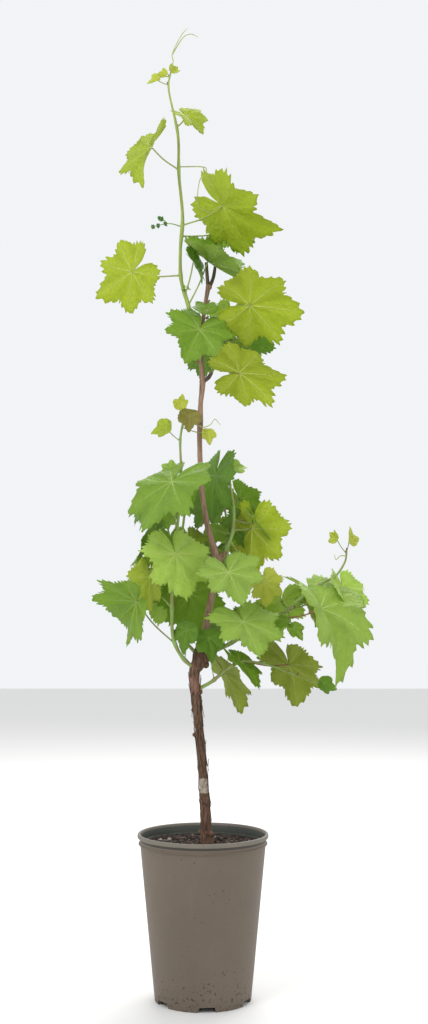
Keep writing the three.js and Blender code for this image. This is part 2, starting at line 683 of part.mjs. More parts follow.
// Side twigs with their leaves, spaced, turned and sized by a seeded draw
function sideTwigs({ count, from, to, bearing, spread, reach, rise, size }, stem, next) {
  return Array.from({ length: count }, (_, k) => {
    const root = stem.getPoint(count > 1 ? THREE.MathUtils.lerp(from, to, k / (count - 1)) : from);
    const side = k % 2 === 0 ? 1 : -1;
    const heading = bearing + side * spread * between(next, TWIG.heading);
    const length = reach * between(next, TWIG.length);
    const tip = root.clone().addScaledVector(towards(heading, rise + between(next, TWIG.lift)), length);
    const middle = root.clone().lerp(tip, 0.5).addScaledVector(UP, -TWIG.sag * length);
    const curve = curveThrough([root, middle, tip].map((p) => p.toArray()));
    const leaves = TWIG.leavesAt.map((at, index) => {
      const turn = heading + (index === 0 ? -side : side) * between(next, TWIG.swing);
      const climb = rise + between(next, TWIG.climb);
      const start = curve.getPoint(at);
      const foot = start.clone().addScaledVector(towards(turn, climb), reach * between(next, TWIG.stalk));
      const row = {
        foot: foot.toArray(),
        size: size * between(next, TWIG.size),
        aim: between(next, TWIG.aim) - TWIG.aimSwing * Math.sin(turn * DEGREE),
        turn,
        tilt: between(next, TWIG.tilt),
        fold: between(next, TWIG.fold),
        droop: between(next, TWIG.droop),
      };
      return makeLeaf(row, start, next);
    });
    return { curve, leaves };
  });
}

// A small eight-sided bead
function beadSolid(middle, size) {
  const ring = [0, 1, 2, 3].map((side) => {
    const angle = (side * Math.PI) / 2;
    return new THREE.Vector3(size * Math.cos(angle), size * Math.sin(angle), 0).add(middle);
  });
  const low = middle.clone().addScaledVector(UP, -size);
  const high = middle.clone().addScaledVector(UP, size);
  return toSolid(closedSurface(low, [ring], high));
}

// Unopened blossom: a stalk with beads round the outer part of it
function blossomSolids({ stalk, radius, beads }, next) {
  const curve = curveThrough(stalk);
  const shape = { sides: BLOSSOM.stalkSides, steps: BLOSSOM.stalkSteps };
  const solids = [toSolid(tube(curve, () => BLOSSOM.stalkRadius, shape))];
  for (let k = 0; k < beads; k += 1) {
    const size = radius * between(next, BLOSSOM.vary);
    const turn = k * BLOSSOM.turn;
    const aside = new THREE.Vector3(0, Math.cos(turn), Math.sin(turn)).multiplyScalar(size * BLOSSOM.aside);
    solids.push(beadSolid(curve.getPoint(1 - (BLOSSOM.outer * k) / beads).add(aside), size));
  }
  return solids;
}

function shootGeometry(shoot) {
  const next = randomFrom(shoot.seed);
  const stem = curveThrough(shoot.path);
  const stemShape = { sides: STEM.sides, steps: (shoot.path.length - 1) * STEM.stepsPerPoint };
  const solids = [toSolid(tube(stem, (share) => radiusAlong(shoot.radii, share), stemShape))];
  const clear = (leaf) => keepsClear(leaf, shoot.space);
  const leaves = shoot.leaves.map((row) => makeLeaf(row, stem.getPoint(row.at), next)).filter(clear);
  for (const twig of shoot.fill ? sideTwigs(shoot.fill, stem, next) : []) {
    const kept = twig.leaves.filter(clear);
    leaves.push(...kept);
    if (kept.length > 0) solids.push(toSolid(tube(twig.curve, () => TWIG.radius, TWIG)));
  }
  solids.push(...leaves.map((leaf) => bladeSolid(leaf).add(stalkSolid(leaf))));
  for (const path of shoot.tendrils) {
    const radiusAt = (share) => THREE.MathUtils.lerp(TENDRIL.footRadius, TENDRIL.tipRadius, share);
    const shape = { sides: TENDRIL.sides, steps: (path.length - 1) * TENDRIL.stepsPerPoint };
    solids.push(toSolid(tube(curveThrough(path), radiusAt, shape)));
  }
  if (shoot.blossom) solids.push(...blossomSolids(shoot.blossom, next));
  return toGeometry(mainBody(clearOf(joined(solids), shoot.meets)));
}

// Assembly

const vine = new THREE.Group();
vine.name = 'potted_grapevine';

function addPart(name, geometry, finish) {
  const mesh = new THREE.Mesh(geometry, new THREE.MeshStandardMaterial({ ...finish, metalness: 0 }));
  mesh.name = name;
  vine.add(mesh);
}

addPart('pot', potGeometry(), FINISHES.pot);
addPart('compost', compostGeometry(), FINISHES.compost);

for (const [name, { meets = [] }] of Object.entries(LIMBS)) {
  const solid = mainBody(clearOf(limbSolid(name), meets));
  addPart(name, toGeometry(solid), name === 'trunk' ? FINISHES.trunk : FINISHES.cane);
}

for (const [name, shoot] of Object.entries(SHOOTS)) {
  addPart(name, shootGeometry(shoot), name === 'leader_shoot' ? FINISHES.leader : FINISHES.foliage);
}

export default vine;
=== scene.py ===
# A young grapevine in a nursery pot. Blender works in metres here, and the rows below are in millimetres.
# +Z is up, +X is right and -Y is towards the viewer. The origin is under the middle of the pot.
from math import atan2, copysign, cos, degrees, exp, hypot, pi, radians, sin, sqrt

import bpy
import bmesh
import numpy as np
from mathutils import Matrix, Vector, noise


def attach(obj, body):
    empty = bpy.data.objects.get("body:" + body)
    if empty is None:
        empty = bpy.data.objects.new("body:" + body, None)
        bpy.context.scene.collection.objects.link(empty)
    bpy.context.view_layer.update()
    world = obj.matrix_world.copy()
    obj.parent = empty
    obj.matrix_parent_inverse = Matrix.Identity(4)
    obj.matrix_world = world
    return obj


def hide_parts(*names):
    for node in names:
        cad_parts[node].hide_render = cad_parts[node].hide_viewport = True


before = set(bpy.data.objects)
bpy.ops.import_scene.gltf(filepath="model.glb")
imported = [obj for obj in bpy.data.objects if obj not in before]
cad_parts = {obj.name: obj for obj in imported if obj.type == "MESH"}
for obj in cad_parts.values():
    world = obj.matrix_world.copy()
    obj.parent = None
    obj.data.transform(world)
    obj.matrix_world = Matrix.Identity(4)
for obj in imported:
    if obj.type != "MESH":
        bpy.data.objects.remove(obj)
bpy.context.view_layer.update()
print("frame loaded:", len(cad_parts), "nodes")

mm = 0.001
up = Vector((0, 0, 1))


# camera, floor and light

cameraLook = {"place": (0.0176, -2.3055, 0.654), "pitch": 3.06, "lens": 50, "sensor": 36}

bpy.ops.object.camera_add(
    location=cameraLook["place"],
    rotation=(radians(90 + cameraLook["pitch"]), 0, 0),
)
camera = bpy.context.object
camera.data.lens = cameraLook["lens"]
camera.data.sensor_width = cameraLook["sensor"]
bpy.context.scene.camera = camera

studioLook = {
    "floorColor": (0.78, 0.77, 0.75),
    "floorRoughness": 0.8,
    "floorSize": 14,
    "skyColor": (0.93, 0.95, 0.97),
    "skyStrength": 0.95,
    "lamps": [
        # name, place, aim, size, power
        ("key", (-1.9, -2.2, 2.9), (0, 0, 0.8), 1.6, 46),
        ("fill", (2.2, -1.9, 1.6), (0, 0, 0.8), 1.8, 10),
        ("back", (0.5, 2.0, 2.8), (0, 0, 0.9), 2.6, 80),
    ],
}
bpy.context.scene.view_settings.view_transform = "Standard"


def plainMaterial(name, color, roughness):
    material = bpy.data.materials.new(name)
    material.use_nodes = True
    shader = material.node_tree.nodes["Principled BSDF"]
    shader.inputs["Base Color"].default_value = (*color, 1)
    shader.inputs["Roughness"].default_value = roughness
    return material


bpy.ops.mesh.primitive_plane_add(size=studioLook["floorSize"], location=(0, 0, 0))
floor = bpy.context.object
floor.name = "pale_floor"
floor.data.materials.append(
    plainMaterial("pale floor", studioLook["floorColor"], studioLook["floorRoughness"])
)

world = bpy.data.worlds.new("soft sky")
world.use_nodes = True
world.node_tree.nodes["Background"].inputs["Color"].default_value = (*studioLook["skyColor"], 1)
world.node_tree.nodes["Background"].inputs["Strength"].default_value = studioLook["skyStrength"]
bpy.context.scene.world = world

for name, place, aim, size, power in studioLook["lamps"]:
    bpy.ops.object.light_add(type="AREA", location=place)
    lamp = bpy.context.object
    lamp.name = name
    lamp.rotation_euler = (Vector(aim) - Vector(place)).to_track_quat("-Z", "Y").to_euler()
    lamp.data.size = size
    lamp.data.energy = power
print("camera, floor and light ready")


# materials

# a node whose inputs are given as numbers and colours, or as the outputs that lead to them
def addNode(tree, kind, values=()):
    node = tree.nodes.new("ShaderNode" + kind)
    for socket, value in dict(values).items():
        if isinstance(value, bpy.types.NodeSocket):
            tree.links.new(value, node.inputs[socket])
        else:
            node.inputs[socket].default_value = value
    return node


def startMaterial(name, roughness):
    material = bpy.data.materials.new(name)
    material.use_nodes = True
    tree = material.node_tree
    shader = tree.nodes["Principled BSDF"]
    shader.inputs["Roughness"].default_value = roughness
    return material, tree, shader, addNode(tree, "TexCoord").outputs["Object"]


def stretched(tree, coords, along):
    return addNode(tree, "Mapping", {"Scale": (1, 1, along), "Vector": coords}).outputs["Vector"]


def noisePattern(tree, coords, scale, detail, rough):
    values = {"Scale": scale, "Detail": detail, "Roughness": rough, "Vector": coords}
    return addNode(tree, "TexNoise", values).outputs["Fac"]


def colorSteps(tree, value, steps):
    ramp = addNode(tree, "ValToRGB", {"Fac": value})
    while len(ramp.color_ramp.elements) < len(steps):
        ramp.color_ramp.elements.new(0.5)
    for element, (place, color) in zip(ramp.color_ramp.elements, steps):
        element.position = place
        element.color = (*color, 1)
    return ramp.outputs["Color"]


def greySteps(tree, value, steps):
    return colorSteps(tree, value, [(place, (grey, grey, grey)) for place, grey in steps])


# the first colour gives way to the second where the mask is pale
def mixedColors(tree, mask, first, second):
    mix = tree.nodes.new("ShaderNodeMix")
    mix.data_type = "RGBA"
    tree.links.new(mask, mix.inputs[0])
    tree.links.new(first, mix.inputs[6])
    mix.inputs[7].default_value = (*second, 1)
    return mix.outputs[2]


def bumped(tree, shader, height, strength, distance):
    bump = addNode(tree, "Bump", {"Strength": strength, "Distance": distance, "Height": height})
    tree.links.new(bump.outputs["Normal"], shader.inputs["Normal"])


def shaded(color, amount):
    return tuple(min(1, channel * amount) for channel in color)


# leaves: each tint has an upper side, an underside and its veins
leafTints = {
    "bright": {"top": (0.37, 0.45, 0.045), "under": (0.385, 0.455, 0.04), "vein": (0.56, 0.62, 0.16)},
    "young": {"top": (0.46, 0.50, 0.08), "under": (0.50, 0.54, 0.11), "vein": (0.58, 0.60, 0.20)},
    "light": {"top": (0.315, 0.45, 0.08), "under": (0.34, 0.45, 0.08), "vein": (0.56, 0.64, 0.24)},
    "fresh": {"top": (0.395, 0.535, 0.105), "under": (0.44, 0.56, 0.10), "vein": (0.60, 0.66, 0.24)},
    "mid": {"top": (0.225, 0.36, 0.042), "under": (0.28, 0.40, 0.07), "vein": (0.46, 0.56, 0.18)},
    "dark": {"top": (0.155, 0.29, 0.034), "under": (0.20, 0.31, 0.06), "vein": (0.28, 0.39, 0.11)},
    "olive": {"top": (0.22, 0.28, 0.032), "under": (0.27, 0.335, 0.042), "vein": (0.40, 0.44, 0.13)},
    "bronze": {"top": (0.27, 0.25, 0.06), "under": (0.32, 0.29, 0.10), "vein": (0.38, 0.32, 0.12)},
}
leafLook = {
    "glow": 0.42,
    "glowShade": 1.45,
    "topRoughness": 0.42,
    "underRoughness": 0.62,
    "sheen": 0.24,
    "patches": (55, 5, 0.72),
    "patchShades": ((0.36, 0.78), (0.52, 1), (0.66, 1.2)),
    # lighter near the veins and darker between them: partly the veins' own paler colour, partly painted
    # quilting shade
    "ribMask": ((0.1, 0), (0.95, 0.85)),
    "ribShade": 1.3,
    "cells": 330,
    "cellMask": ((0, 1), (0.09, 0)),
    "cellShade": 1.18,
    "crinkles": (150, 2, 0.5),
    "crinkleDepth": (0.65, 0.005),
}
stemLook = {
    "roughness": 0.55,
    "stretch": 0.25,
    "streaks": (160, 4, 0.6),
    "steps": (0.34, 0.56, 0.75),
    "paleShade": 1.2,
    "depth": (0.25, 0.0006),
    "veinBlush": 0.86,
}


def leafMaterial(name, color, roughness):
    material, tree, shader, coords = startMaterial(name, roughness)
    patches = noisePattern(tree, coords, *leafLook["patches"])
    shades = [(place, shaded(color, shade)) for place, shade in leafLook["patchShades"]]
    green = colorSteps(tree, patches, shades)
    # painted light and shade: near the veins the blade is lighter and between them darker. This is partly
    # the veins' own paler colour and partly stands in for the light and shade of the quilted blade
    rib = tree.nodes.new("ShaderNodeAttribute")
    rib.attribute_name = "rib"
    nearRib = greySteps(tree, rib.outputs["Fac"], leafLook["ribMask"])
    green = mixedColors(tree, nearRib, green, shaded(color, leafLook["ribShade"]))
    cells = addNode(tree, "TexVoronoi", {"Scale": leafLook["cells"], "Vector": coords})
    cells.feature = "DISTANCE_TO_EDGE"
    nearEdge = greySteps(tree, cells.outputs["Distance"], leafLook["cellMask"])
    green = mixedColors(tree, nearEdge, green, shaded(color, leafLook["cellShade"]))
    tree.links.new(green, shader.inputs["Base Color"])
    shader.inputs["Specular IOR Level"].default_value = leafLook["sheen"]
    bumped(tree, shader, noisePattern(tree, coords, *leafLook["crinkles"]), *leafLook["crinkleDepth"])
    glow = addNode(tree, "BsdfTranslucent", {"Color": (*shaded(color, leafLook["glowShade"]), 1)})
    values = {"Fac": leafLook["glow"], 1: shader.outputs["BSDF"], 2: glow.outputs["BSDF"]}
    both = addNode(tree, "MixShader", values)
    tree.links.new(both.outputs["Shader"], tree.nodes["Material Output"].inputs["Surface"])
    return material


def stemMaterial(name, color, blush):
    material, tree, shader, coords = startMaterial(name, stemLook["roughness"])
    shader.inputs["Specular IOR Level"].default_value = leafLook["sheen"]
    streaks = noisePattern(tree, stretched(tree, coords, stemLook["stretch"]), *stemLook["streaks"])
    steps = list(zip(stemLook["steps"], (blush, color, shaded(color, stemLook["paleShade"]))))
    tree.links.new(colorSteps(tree, streaks, steps), shader.inputs["Base Color"])
    bumped(tree, shader, streaks, *stemLook["depth"])
    return material


finishes = {}
for tint, colors in leafTints.items():
    for side in ("top", "under"):
        material = leafMaterial(f"leaf {tint} {side}", colors[side], leafLook[side + "Roughness"])
        finishes[tint + side.capitalize()] = material
    veinBlush = shaded(colors["vein"], stemLook["veinBlush"])
    finishes[tint + "Vein"] = stemMaterial("vein " + tint, colors["vein"], veinBlush)
stemColors = {
    "greenStem": ((0.24, 0.36, 0.10), (0.27, 0.24, 0.09)),
    "redStem": ((0.30, 0.16, 0.08), (0.20, 0.07, 0.045)),
    "leaderStem": ((0.335, 0.425, 0.105), (0.27, 0.335, 0.09)),
    "tendril": ((0.40, 0.48, 0.16), (0.34, 0.34, 0.12)),
    "blossom": ((0.09, 0.22, 0.06), (0.05, 0.13, 0.04)),
    "bud": ((0.30, 0.20, 0.12), (0.20, 0.09, 0.05)),
}
for name, (color, blush) in stemColors.items():
    finishes[name] = stemMaterial("green wood " + name, color, blush)
print("leaf and stem materials ready")


# a draft gathers points and faces, and each face's finish

def newDraft():
    return {"points": [], "faces": [], "slots": [], "finishes": [], "ribs": []}


def addSurface(draft, points, faces, finish, ribs=None):
    start = len(draft["points"])
    draft["ribs"].extend([0.0] * len(points) if ribs is None else ribs)
    if finish not in draft["finishes"]:
        draft["finishes"].append(finish)
    draft["points"].extend(tuple(point) for point in points)
    draft["faces"].extend(tuple(start + corner for corner in face) for face in faces)
    draft["slots"].extend([draft["finishes"].index(finish)] * len(faces))


def pieceFrom(name, draft):
    mesh = bpy.data.meshes.new(name)
    mesh.from_pydata(draft["points"], [], draft["faces"])
    for finish in draft["finishes"]:
        mesh.materials.append(finishes[finish])
    mesh.polygons.foreach_set("material_index", draft["slots"])
    mesh.polygons.foreach_set("use_smooth", [True] * len(draft["faces"]))
    mesh.attributes.new("rib", "FLOAT", "POINT").data.foreach_set("value", draft["ribs"])
    mesh.update()
    piece = bpy.data.objects.new(name, mesh)
    bpy.context.scene.collection.objects.link(piece)
    return piece


# the seeded rule that the solids follow, with the same draws in the same order

def randomFrom(seed):
    state = [seed]

    def draw():
        state[0] = (state[0] + 0x6D2B79F5) & 0xFFFFFFFF
        mixed = ((state[0] ^ (state[0] >> 15)) * (state[0] | 1)) & 0xFFFFFFFF
        mixed ^= (mixed + (((mixed ^ (mixed >> 7)) * (mixed | 61)) & 0xFFFFFFFF)) & 0xFFFFFFFF
        return ((mixed ^ (mixed >> 14)) & 0xFFFFFFFF) / 4294967296

    return draw


def between(draw, span):
    return span[0] + (span[1] - span[0]) * draw()


def towards(bearing, climb):
    level = cos(radians(climb))
    turned = radians(bearing)
    return Vector((sin(turned) * level, -cos(turned) * level, sin(radians(climb))))


def curvePoint(points, share):
    place = share * (len(points) - 1)
    index = min(int(place), len(points) - 2)
    rest = place - index
    second, third = points[index], points[index + 1]
    first = points[index - 1] if index > 0 else second * 2 - third
    fourth = points[index + 2] if index + 2 < len(points) else third * 2 - second
    leave, arrive = (third - first) / 2, (fourth - second) / 2
    bend = second * 2 - third * 2 + leave + arrive
    turn = third * 3 - second * 3 - leave * 2 - arrive
    return second + leave * rest + turn * rest ** 2 + bend * rest ** 3


def sampled(path, steps):
    points = [Vector(point) for point in path]
    return [curvePoint(points, step / steps) for step in range(steps + 1)]


def listAlong(values, share):
    place = share * (len(values) - 1)
    index = min(int(place), len(values) - 2)
    return values[index] + (values[index + 1] - values[index]) * (place - index)


# the radius of a round tube that passes through each of the radii in turn
def alongList(radii):
    def radiusAt(share, angle):
        return listAlong(radii, share)

    return radiusAt


# rings that follow each other, joined round their sides, with a cap at each end
def tubeFaces(rings, sides):
    faces = []
    for low in range((rings - 1) * sides):
        after = low - low % sides + (low + 1) % sides
        faces.append((low, after, after + sides, low + sides))
    return [*faces, tuple(reversed(range(sides))), tuple(range((rings - 1) * sides, rings * sides))]


# a closed tube along points in millimetres
def addTube(draft, points, radiusAt, sides, finish):
    last = len(points) - 1
    across = Vector((1, 0, 0)) if abs((points[1] - points[0]).normalized().x) < 0.9 else Vector((0, 1, 0))
    ring = []
    for step, centre in enumerate(points):
        along = (points[min(step + 1, last)] - points[max(step - 1, 0)]).normalized()
        across = (across - along * across.dot(along)).normalized()
        beside = along.cross(across)
        for side in range(sides):
            angle = 2 * pi * side / sides
            radius = radiusAt(step / last, angle)
            ring.append((centre + across * radius * cos(angle) + beside * radius * sin(angle)) * mm)
    addSurface(draft, ring, tubeFaces(len(points), sides), finish)


# a small closed bud or bead: a tube that swells and closes
beadShape = {"places": (0, 0.15, 0.4, 0.7, 0.9, 1), "widths": (0.15, 0.7, 1, 0.85, 0.45, 0.08)}


def addBead(draft, middle, axis, length, radius, finish, sides=6):
    points = [middle + axis * length * (share - 0.5) for share in beadShape["places"]]

    def beadRadius(share, angle):
        return radius * beadShape["widths"][round(share * (len(points) - 1))]

    addTube(draft, points, beadRadius, sides, finish)


# leaf blades

leafOutline = [
    (0, 1.01), (6, 0.945), (15, 0.875), (28, 0.73), (48, 0.91), (71, 0.65), (93, 0.82), (117, 0.63),
    (147, 0.68), (162, 0.6), (171, 0.42), (177, 0.07),
]
budOutline = [(0, 1), (26, 0.64), (50, 0.76), (98, 0.54), (145, 0.44)]
bladeLook = {
    "smallSize": 40,
    "wave": (0.07, 4),
    "ruffles": ((0.03, 9), (0.01, 17)),
    "swell": (0.07, 3.1, 2.7),
    "puff": 0.028,
    "puffWidth": 0.05,
    "puffFade": 0.6,
    "crease": 0.035,
    "thickness": 0.5,
    "smallThickness": 0.35,
    "edgeThickness": 0.25,
    "rings": (0.1, 0.22, 0.35, 0.48, 0.61, 0.73, 0.84, 0.93, 1),
    "step": 2.4,
    "smallStep": 5,
    "rounding": 0.65,
    "seeds": (11, 12, 13, 14),
    "smallSeed": 29,
}
teethLook = {
    "sizes": ((0.125, 8.6), (0.05, 5)),
    "widths": (0.55, 1.45),
    "depths": (0.35, 1.45),
    "round": 1.5,
    "from": 0.8,
    "shallow": 1.5,
}
veinLook = {
    "mains": (0, 48, -48, 93, -93, 143, -143),
    "smallMains": (0, 50, -50, 98, -98),
    "branches": (0.2, 0.36, 0.52, 0.68, 0.82),
    "smallBranches": (0.4, 0.65),
    "reach": 0.95,
    "bow": 0.05,
    "points": 8,
    "offset": 0.03,
    "angle": 43,
    "bend": 12,
    "length": 0.46,
    "room": 1.15,
    "margin": 0.9,
    "cut": 0.01,
    "shortest": 0.02,
    "mainWidth": (0.95, 0.24),
    "branchWidth": (0.32, 0.12),
    "fullSize": 80,
    "thinning": 0.85,
    "rise": 0.35,
    "sink": 1.1,
}


def outlineReach(outline, angle):
    turned = min(abs(angle), outline[-1][0])
    for (start, low), (end, high) in zip(outline, outline[1:]):
        if turned <= end:
            share = (turned - start) / (end - start)
            share += bladeLook["rounding"] * (share * share * (3 - 2 * share) - share)
            return low + (high - low) * share
    return outline[-1][1]


# a branch vein, cut back until it ends short of the blade's edge
def branchVein(outline, main, side, reach, share):
    start = reach * (share + veinLook["offset"] * side)
    heading = radians(main + side * veinLook["angle"])
    root = (start * sin(radians(main)), start * cos(radians(main)))
    length = min(veinLook["length"] * start, (reach - start) * veinLook["room"]) + veinLook["offset"]
    while length > veinLook["shortest"]:
        across, along = root[0] + length * sin(heading), root[1] + length * cos(heading)
        edge = outlineReach(outline, degrees(atan2(across, along)))
        if hypot(across, along) < veinLook["margin"] * edge:
            break
        length -= veinLook["cut"]
    branch = []
    for part in (0, 0.5, 1):
        bent = heading - side * radians(veinLook["bend"]) * part
        branch.append((root[0] + length * part * sin(bent), root[1] + length * part * cos(bent)))
    return branch


def veinLines(outline, mains, branches):
    lines = []
    for main in mains:
        reach = outlineReach(outline, main) * veinLook["reach"]
        points = []
        for share in np.linspace(0, 1, veinLook["points"]):
            turned = radians(main * (1 - veinLook["bow"] * sin(pi * share)))
            points.append((reach * share * sin(turned), reach * share * cos(turned)))
        lines.append((points, "mainWidth"))
        for share in branches:
            lines.extend((branchVein(outline, main, side, reach, share), "branchWidth") for side in (-1, 1))
    return lines


# uneven teeth round the edge: coarse ones with finer ones between, each rising slowly and dropping fast
def toothHeights(angles, seed):
    draw = randomFrom(seed)
    heights = np.zeros(len(angles))
    for depth, span in teethLook["sizes"]:
        edge = angles[0]
        while edge < angles[-1]:
            wide = span * between(draw, teethLook["widths"])
            tall = depth * between(draw, teethLook["depths"])
            share = (angles - edge) / wide
            inside = (share >= 0) & (share < 1)
            lean = np.where(edge + wide / 2 < 0, share, 1 - share)
            peak = np.sin(pi * np.clip(lean, 0, 1) ** teethLook["round"])
            heights += np.where(inside, tall * (peak - 0.5), 0)
            edge += wide
    return heights


# a flat blade one unit long: its points in rings, its veins, and how near each point is to a vein
def leafTemplate(outline, step, mains, branches, seed):
    limit = outline[-1][0]
    count = round(2 * limit / step)
    angles = np.linspace(-limit, limit, count + 1)
    reach = np.array([outlineReach(outline, angle) for angle in angles])
    tooth = toothHeights(angles, seed) * np.minimum(1, reach * teethLook["shallow"])
    shares = np.array(bladeLook["rings"])
    depth = np.clip((shares - teethLook["from"]) / (1 - teethLook["from"]), 0, 1)
    wide = shares[:, None] * (reach[None, :] * (1 + tooth[None, :] * depth[:, None]))
    across = wide * np.sin(np.radians(angles))[None, :]
    along = wide * np.cos(np.radians(angles))[None, :]
    lines = veinLines(outline, mains, branches)
    nearest = np.full(across.shape, np.inf)
    for points, _ in lines:
        for (ax, ay), (bx, by) in zip(points, points[1:]):
            dx, dy = bx - ax, by - ay
            part = np.clip(((across - ax) * dx + (along - ay) * dy) / (dx * dx + dy * dy), 0, 1)
            nearest = np.minimum(nearest, np.hypot(across - ax - part * dx, along - ay - part * dy))
    away = 1 - np.exp(-((nearest / bladeLook["puffWidth"]) ** 2))
    puff = away * (1 - bladeLook["puffFade"] * shares ** 4)[:, None]
    # each point's nearness to a vein, which the leaf colour uses for paler veins and for painted quilting
    # shade between them
    ribs = [1.0] + (1 - away).ravel().tolist()
    return {"across": across, "along": along, "puff": puff, "lines": lines, "ribs": ribs}


fullLeaves = [
    leafTemplate(leafOutline, bladeLook["step"], veinLook["mains"], veinLook["branches"], seed)
    for seed in bladeLook["seeds"]
]
budLeaf = leafTemplate(
    budOutline, bladeLook["smallStep"], veinLook["smallMains"], veinLook["smallBranches"],
    bladeLook["smallSeed"],
)


def bladeFrame(row):
    face = towards(row["turn"], row["tilt"])
    aim = radians(row["aim"])
    tip = Vector((sin(aim), 0, cos(aim)))
    tip.y = -tip.dot(face) / face.y
    tip.normalize()
    return {"face": face, "tip": tip, "across": tip.cross(face)}


# heights over the plane of the blade, as shares of its size
def bladeHeights(leaf, across, along, puff):
    ratio = np.hypot(across, along)
    angle = np.arctan2(across, along)
    phase, crease = leaf["phase"], bladeLook["crease"]
    wave, turns = bladeLook["wave"]
    height = leaf["fold"] * (np.sqrt(across ** 2 + crease ** 2) - crease)
    height = height - leaf["droop"] * ratio ** 2 / 2
    height = height + wave * ratio ** 2 * np.sin(turns * angle + phase)
    for size, turns in bladeLook["ruffles"]:
        height = height + size * ratio ** 3 * np.sin(turns * angle + turns * phase)
    swell, swellAcross, swellAlong = bladeLook["swell"]
    swell = swell * np.sin(swellAcross * across + phase) * np.sin(swellAlong * along + 2 * phase)
    return height + swell * ratio + bladeLook["puff"] * puff


def bladePlaces(leaf, across, along, height):
    frameOf = leaf["frame"]
    axes = np.array([frameOf["across"], frameOf["tip"], frameOf["face"]])
    flat = np.stack([across.ravel(), along.ravel(), height.ravel()], axis=1) * leaf["size"]
    return (np.array(leaf["foot"]) + flat @ axes) * mm


def addBlade(draft, leaf):
    small = leaf["size"] < bladeLook["smallSize"]
    form = budLeaf if small else fullLeaves[int(leaf["phase"] * 100) % len(fullLeaves)]
    half = bladeLook["smallThickness" if small else "thickness"] / 2 / leaf["size"]
    rings, count = form["across"].shape
    heights = bladeHeights(leaf, form["across"], form["along"], form["puff"])
    edge = np.ones((rings, 1))
    edge[-1] = bladeLook["edgeThickness"]
    for side, finish in ((1, leaf["tint"] + "Top"), (-1, leaf["tint"] + "Under")):
        grid = bladePlaces(leaf, form["across"], form["along"], heights + side * half * edge)
        centre = bladePlaces(leaf, np.zeros(1), np.zeros(1), np.full(1, side * half))
        faces = []
        for k in range(count):
            after = (k + 1) % count
            faces.append((0, 1 + after, 1 + k))
            for ring in range(rings - 1):
                low, high = 1 + ring * count, 1 + (ring + 1) * count
                faces.append((low + k, low + after, high + after, high + k))
        if side < 0:
            faces = [tuple(reversed(face)) for face in faces]
        addSurface(draft, np.concatenate([centre, grid]), faces, finish, form["ribs"])
    under = len(draft["points"]) - count  # the two edges are joined by a narrow band
    upper = under - (rings * count + 1)
    slot = draft["finishes"].index(leaf["tint"] + "Top")
    for k in range(count):
        after = (k + 1) % count
        draft["faces"].append((upper + k, upper + after, under + after, under + k))
        draft["slots"].append(slot)
    addVeins(draft, leaf, form["lines"], half)


# each vein is a thin four-sided rib that runs through the blade and shows on both sides
def addVeins(draft, leaf, lines, half):
    scale = min(1, leaf["size"] / veinLook["fullSize"]) ** veinLook["thinning"]
    for points, kind in lines:
        line = np.array(points)
        height = bladeHeights(leaf, line[:, 0], line[:, 1], np.zeros(len(line)))
        direction = np.gradient(line, axis=0)
        direction /= np.linalg.norm(direction, axis=1)[:, None]
        wide, fine = veinLook[kind]
        width = (wide + (fine - wide) * np.linspace(0, 1, len(line))) * scale / leaf["size"]
        aside = np.stack([direction[:, 1], -direction[:, 0]], axis=1) * width[:, None]
        left, right = line - aside, line + aside
        corners = [
            bladePlaces(leaf, left[:, 0], left[:, 1], height),
            bladePlaces(leaf, line[:, 0], line[:, 1], height + half + width * veinLook["rise"]),
            bladePlaces(leaf, right[:, 0], right[:, 1], height),
            bladePlaces(leaf, line[:, 0], line[:, 1], height - half - width * veinLook["sink"]),
        ]
        faces = [(face[0], *reversed(face[1:])) for face in tubeFaces(len(line), len(corners))]
        addSurface(draft, np.stack(corners, axis=1).reshape(-1, 3), faces, leaf["tint"] + "Vein")


# shoots: the rows are those of the solids, with each leaf's tint

